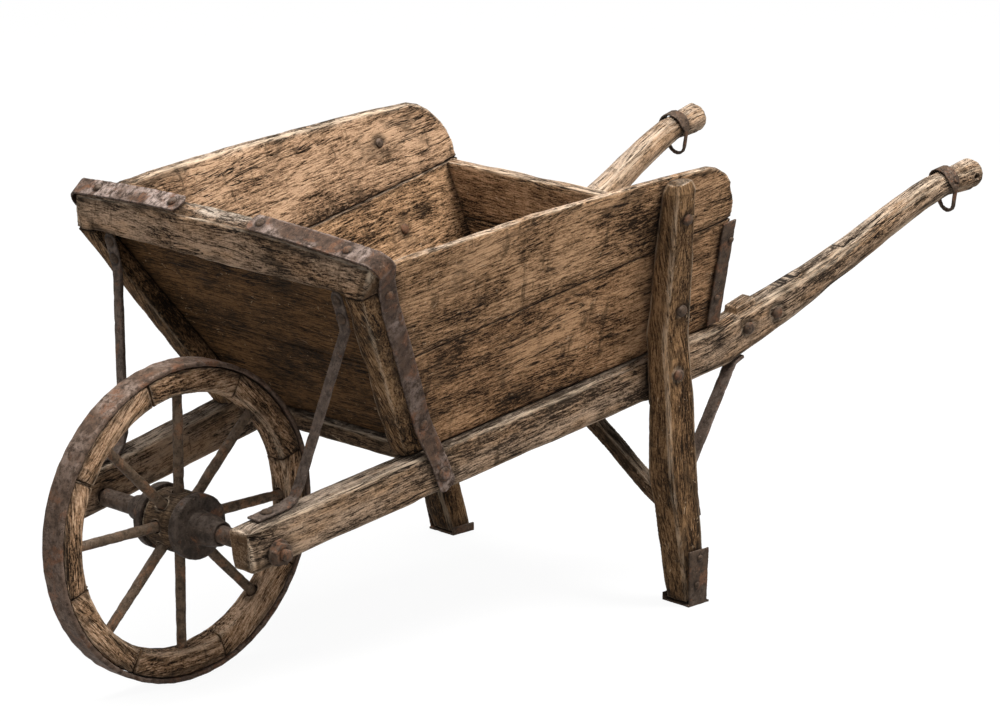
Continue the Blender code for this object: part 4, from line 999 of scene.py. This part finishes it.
# The hole in the near knob: its place along and up, and how it is drilled
KNOB_HOLE = (0.8029, 0.5866)
KNOB_HOLE_RADIUS = 0.0036
KNOB_OUT = 0.3052
KNOB_DEPTH = 0.012
KNOB_START = 0.03
CAD_SHAFT_FRONT = AXLE.x - 0.048
# Cracks, each from and to a pixel
FAR_SPLIT = ((403, 137), (432, 123))
SIDE_SPLITS = (((403, 287), (428, 279)), ((405, 299), (450, 282)))
LOW_SPLITS = (((434, 404), (462, 389)),)
LEG_SPLITS = (((684, 247), (683, 303)), ((681.5, 385), (682, 470)), ((693, 528), (697, 548)))
HANDLE_SPLITS = (((830, 249), (868, 229)), ((866, 227), (886, 221)), ((774, 286), (798, 271)))
# Felloe joints that stand open and all the joints, in degrees round the axle
OPEN_JOINTS = (107.5, 152.5, 242.5)
JOINT_NEAR = 1.0
FIRST_JOINT = 17.5
JOINT_STEP = 45.0
OPEN_WIDTH = 5.0


def on_node(node, pixel):
    """Where a pixel of the picture falls on the node: the place and the face's direction there."""
    hit, normal, _, _ = touching_tree([node]).ray_cast(EYE, sight(pixel))
    if hit is None:
        raise ValueError(f"{node} isn't seen at {pixel}")
    return hit, normal


def mirrored(seats):
    return [
        (Vector((c.x, -c.y, c.z)), Vector((f.x, -f.y, f.z)), radius) for c, f, radius in seats
    ]


def nail_seats(node, pixels, radius):
    return [(*on_node(node, pixel), radius) for pixel in pixels]


def front_point(back, y, up):
    """A place back from the tray's leaning front edge, y across and up along that edge."""
    return tray_point(FRONT_EDGE, y, 0.0) + back * FRONT_BACK + up * FRONT_UP


def strap_seats(side):
    """The rivets and the bolt of a corner strap."""
    node = "corner_strap_" + side
    sign = SIDES[side]
    found = []
    for y in STRAP_TOP_RIVETS:
        point = front_point(STRAP_MIDDLE, sign * y, STRAP_ABOVE)
        found.append(seat(node, point, -FRONT_UP, STRAP_RIVET))
    for up, ahead, radius in STRAP_SIDE_HEADS:
        point = front_point(STRAP_MIDDLE - ahead, sign * STRAP_OUTSIDE, up)
        found.append(seat(node, point, -sign * ACROSS, radius))
    return found


def brace_seats(side):
    """The bolts of a front brace: one through its foot and two through its tab."""
    node = "front_brace_" + side
    sign = SIDES[side]
    foot = tray_point(BRACE_FOOT[0], sign * BRACE_FOOT[1], 0.0)
    knee, tab = (tray_point(u, sign * y, w) for u, y, w in (BRACE_KNEE, BRACE_TAB))
    tab_bolts = [(knee.lerp(tab, share), FRONT_BACK) for share in BRACE_TAB_BOLTS]
    return [seat(node, point, way, BRACE_BOLT) for point, way in ((foot, -TRAY_UP), *tab_bolts)]


def leg_seats(side):
    sign = SIDES[side]
    return [
        seat("leg_" + side, tray_point(u, sign * OUTSIDE, w), -sign * ACROSS, radius)
        for u, w, radius in LEG_BOLTS
    ]


def shaft_seats(side):
    sign = SIDES[side]
    return [
        seat("shaft_" + side, (AXLE.x + x, sign * OUTSIDE, z), -sign * ACROSS, radius)
        for x, z, radius in SHAFT_BOLTS
    ]


def levelled(seats):
    return [(centre, facing, LEVEL_MARGIN * radius) for centre, facing, radius in seats]


def curved_shaft(node):
    """The curved grain of a shaft, asked of its own solid's corners with those of the places."""
    bm = merged([node])
    bmesh.ops.subdivide_edges(bm, edges=[e for e in bm.edges if e.calc_length() > 0.02], cuts=40)
    corners = np.array([vert.co for vert in bm.verts])
    bm.free()

    def place_in_wood(places):
        return curved_grain(np.concatenate([corners, places]))[len(corners) :]

    return place_in_wood


def split_places(node, grain, pixels):
    """Cracks seen between pairs of pixels, as places along and across the node's board."""
    found = []
    for pair in pixels:
        ends = grain(np.array([on_node(node, pixel)[0] for pixel in pair]))
        ends = ends[np.argsort(ends[:, 0])]
        found.append((tuple(ends[0, :2]), tuple(ends[1, :2])))
    return found


def in_tight_joint(point):
    """Whether a felloe's corner lies in one of the joints that have stayed tight."""
    turn = math.degrees(math.atan2(point.z - AXLE.z, point.x - AXLE.x))
    to_joint = (turn - FIRST_JOINT + JOINT_STEP / 2) % JOINT_STEP - JOINT_STEP / 2
    if abs(to_joint) > JOINT_NEAR:
        return False
    return all(abs((turn - joint + 180.0) % 360.0 - 180.0) > OPEN_WIDTH for joint in OPEN_JOINTS)


SHAFT_LOOK = dict(
    light=(0.37, 0.225, 0.125),
    middle=(0.18, 0.103, 0.052),
    grey=0.30,
    bleach=0.60,
    stain=0.50,
    worn=0.5,
)
LEG_LOOK = dict(light=(0.28, 0.162, 0.080), middle=(0.116, 0.063, 0.029), stain=0.60, worn=0.4)
# The finish of each wooden part
OAKS = {
    "side_oak": dict(light=(0.50, 0.305, 0.172), middle=(0.24, 0.136, 0.070), stain=0.55),
    "low_oak": dict(light=(0.48, 0.285, 0.155), middle=(0.235, 0.128, 0.064), stain=0.60),
    "far_oak": dict(light=(0.45, 0.29, 0.18), middle=(0.22, 0.131, 0.075), stain=0.60),
    # The front boards' colours are darkened as painted shade, for the shadow under the cap rail.
    "front_oak_painted_shade": dict(
        light=(0.175, 0.090, 0.037), middle=(0.085, 0.044, 0.018), stain=0.55, worn=0.4
    ),
    "post_oak": dict(
        light=(0.33, 0.200, 0.105), middle=(0.145, 0.080, 0.038), stain=0.65, worn=0.35
    ),
    "cap_oak": dict(grey=0.25, bleach=0.9, stain=0.60, worn=0.8),
    "tail_oak": dict(light=(0.46, 0.285, 0.165), middle=(0.225, 0.130, 0.068), stain=0.50),
    "floor_oak": dict(
        light=(0.28, 0.185, 0.115), middle=(0.135, 0.092, 0.056), grey=0.2, stain=0.6
    ),
    "bearer_oak": dict(light=(0.26, 0.17, 0.10), middle=(0.12, 0.075, 0.045), stain=0.75),
    "shaft_oak": SHAFT_LOOK,
    "near_shaft_oak": SHAFT_LOOK,
    "leg_oak": LEG_LOOK,
    "near_leg_oak": LEG_LOOK,
    "strut_oak": dict(light=(0.25, 0.155, 0.09), middle=(0.11, 0.065, 0.036), stain=0.7),
    "felloe_oak": dict(
        light=(0.58, 0.385, 0.25), middle=(0.28, 0.162, 0.088), bleach=0.15, stain=0.50, worn=0.35
    ),
    "nave_oak": dict(
        light=(0.22, 0.14, 0.08), middle=(0.10, 0.062, 0.036), bleach=0.1, stain=0.8
    ),
}
# The finish of each iron part
# Each iron's pale grey is rubbed metal and a painted reflection of the sky.
IRONS = {
    "tyre_iron": dict(
        base=(0.105, 0.064, 0.042), rub_and_painted_sheen=(0.27, 0.205, 0.170), rusty=0.45, rubbed=0.85, glossy=0.6
    ),
    "strap_iron": dict(
        base=(0.078, 0.046, 0.030), rub_and_painted_sheen=(0.44, 0.35, 0.31), rusty=0.50, rubbed=0.9, glossy=0.7
    ),
    "bar_iron": dict(base=(0.110, 0.078, 0.060), rusty=0.35, rubbed=0.5),
    "spoke_iron": dict(
        base=(0.125, 0.082, 0.050), rust=(0.21, 0.105, 0.055), rusty=0.55, rubbed=0.4
    ),
    "hub_iron": dict(base=(0.062, 0.043, 0.031), rusty=0.35, rubbed=0.35),
    "fitting_iron": dict(rusty=0.5, rubbed=0.4),
}


def dress_shaft(side, material):
    near = side == "left"
    sign = SIDES[side]
    tip = Vector((CAD_SHAFT_FRONT, sign * SHAFT_TIP[0], SHAFT_TIP[1]))
    gouges = [(tip, *TIP_WEAR)]
    knob_y = sign * KNOB_OUT
    hole_start, hole_end = (
        (KNOB_HOLE[0], y, KNOB_HOLE[1]) for y in (knob_y + sign * KNOB_START, knob_y)
    )
    # The stain spot reaches down the whole knob hole, blackening its inside: dirt and painted shade in the hole.
    spots = [(hole_end, MARK_STAIN + KNOB_DEPTH)]
    if near:
        notch = on_node("shaft_left", SHAFT_GOUGE)[0]
        gouges.append((notch, *GOUGE_WEAR))
        spots.append((notch, MARK_STAIN))
    weathered(
        f"shaft_{side}",
        material,
        curved_grain,
        voxel=0.0028,
        sharp=SHAFT_SHARP,
        levelled=levelled(shaft_seats(side)),
        spots=spots,
        gouges=gouges,
        hole=(hole_start, hole_end, KNOB_HOLE_RADIUS) if near else None,
    )


def dress_wood():
    middle = SHAFT_TOP + 0.5 * ALONG
    front = SHAFT_TOP + FRONT_EDGE * ALONG
    long_grain = straight_grain(middle, ALONG, TRAY_UP)
    floor_grain = straight_grain(middle, ALONG, ACROSS)
    cross_grain = straight_grain(middle, ACROSS, TRAY_UP)
    front_grain = straight_grain(front, ACROSS, FRONT_UP)
    post_grain = straight_grain(front, FRONT_UP, ACROSS)
    leg_grain = straight_grain(SHAFT_TOP + 0.73 * ALONG, TRAY_UP, ALONG)
    near_shaft = curved_shaft("shaft_left")
    cracks = {
        "side_oak": split_places("side_upper_left", long_grain, SIDE_SPLITS),
        "low_oak": split_places("side_lower_left", long_grain, LOW_SPLITS),
        "far_oak": split_places("side_upper_right", long_grain, (FAR_SPLIT,)),
        "near_shaft_oak": split_places("shaft_left", near_shaft, HANDLE_SPLITS),
        "near_leg_oak": split_places("leg_left", leg_grain, LEG_SPLITS),
    }
    oaks = {name: oak(name, **look, splits=cracks.get(name, ())) for name, look in OAKS.items()}
    side_oaks = {
        "side_upper_left": "side_oak",
        "side_lower_left": "low_oak",
        "side_upper_right": "far_oak",
        "side_lower_right": "tail_oak",
    }
    for node, name in side_oaks.items():
        spots = []
        if node in INNER_BOLTS:
            spots.append((on_node(node, INNER_BOLTS[node])[0], INNER_BOLT_STAIN))
        weathered(node, oaks[name], long_grain, spots=spots)
    for side, sign in SIDES.items():
        which = "near_" if side == "left" else ""
        weathered(f"front_batten_{side}", oaks["post_oak"], post_grain, voxel=0.0028)
        weathered(
            f"leg_{side}",
            oaks[which + "leg_oak"],
            leg_grain,
            voxel=0.0026,
            levelled=levelled(leg_seats(side)),
        )
        strut = (ACROSS * sign - TRAY_UP * 0.8).normalized()
        strut_grain = straight_grain(middle, strut, ALONG)
        weathered(f"leg_strut_{side}", oaks["strut_oak"], strut_grain, voxel=0.0028)
        dress_shaft(side, oaks[which + "shaft_oak"])
    for height in ("lower", "upper"):
        weathered(f"front_board_{height}", oaks["front_oak_painted_shade"], front_grain, voxel=0.0032)
        weathered(f"tail_board_{height}", oaks["tail_oak"], cross_grain, voxel=0.0030)
    weathered("front_cap_rail", oaks["cap_oak"], front_grain, voxel=0.0026, wear=1.3)
    for number in (1, 2, 3):
        weathered(f"floor_board_{number}", oaks["floor_oak"], floor_grain, voxel=0.0038)
    for node in ("front_sill", "middle_bearer", "rear_bearer"):
        weathered(node, oaks["bearer_oak"], cross_grain, voxel=0.0034)
    for number in range(1, 9):
        turn = math.tau * (number - 1) / 8
        out = Vector((math.cos(turn), 0.0, math.sin(turn)))
        round_rim = Vector((-math.sin(turn), 0.0, math.cos(turn)))
        weathered(
            f"felloe_{number}",
            oaks["felloe_oak"],
            straight_grain(AXLE, round_rim, out),
            voxel=0.0022,
            wear=0.7,
            leave=in_tight_joint,
        )
    nave_grain = straight_grain(AXLE, ACROSS, TRAY_UP)
    weathered("hub", oaks["nave_oak"], nave_grain, voxel=0.0020, wear=0.5)


def dress_iron():
    irons = {name: iron(name, **look) for name, look in IRONS.items()}
    fitting_iron = irons["fitting_iron"]
    forged("tyre", irons["tyre_iron"], voxel=0.0022, dents=0.0005)
    for side in SIDES:
        forged(f"corner_strap_{side}", irons["strap_iron"], voxel=0.0013, studs=strap_seats(side))
        forged(f"front_brace_{side}", irons["bar_iron"], voxel=0.0014, studs=brace_seats(side))
        forged(f"leg_brace_{side}", irons["bar_iron"], voxel=0.0014)
        for node, pixels, voxel in NAILED:
            seats = nail_seats(node + "_left", pixels, NAIL)
            seats = seats if side == "left" else mirrored(seats)
            forged(f"{node}_{side}", fitting_iron, voxel=voxel, studs=seats)
        forged(f"hub_iron_{side}", irons["hub_iron"], voxel=0.0016)
        forged(f"axle_nut_{side}", fitting_iron, voxel=0.0012)
    forged("axle", fitting_iron, voxel=0.0016)
    for number in range(1, 9):
        forged(f"spoke_{number}", irons["spoke_iron"], voxel=0.0015, dents=0.0008)
    return fitting_iron


def dress_heads(head_iron):
    tree = head_tree()
    bolts = []
    rivets = []
    braces = []
    for side in SIDES:
        bolts += leg_seats(side) + shaft_seats(side)
        rivets += strap_seats(side)
        braces += brace_seats(side)
    heads("frame_bolt_heads", tree, bolts, 0.62, head_iron)
    heads("brace_bolt_heads", tree, braces, 0.55, head_iron)
    heads("strap_rivets", tree, rivets, 0.50, head_iron)
    nails = []
    for node, pixels, _ in NAILED:
        nails += nail_seats(node + "_left", pixels, NAIL)
    nails += mirrored(nails)
    heads("iron_nails", tree, nails, 0.55, head_iron)
    # Each tip closes the axle's open end
    axle_out = node_box("axle")[1][1] - TIP_INSET
    tips = [(Vector((AXLE.x, -axle_out, AXLE.z)), Vector((0.0, -1.0, 0.0)), AXLE_TIP)]
    tips += mirrored(tips)
    heads("axle_tips", tree, tips, 0.45, head_iron)
    ends = []
    for node, pixel in INNER_BOLTS.items():
        ends += nail_seats(node, (pixel,), INNER_BOLT)
    ends += mirrored(ends)
    heads("inner_bolt_ends", tree, ends, 0.50, head_iron)


dress_wood()
dress_heads(dress_iron())
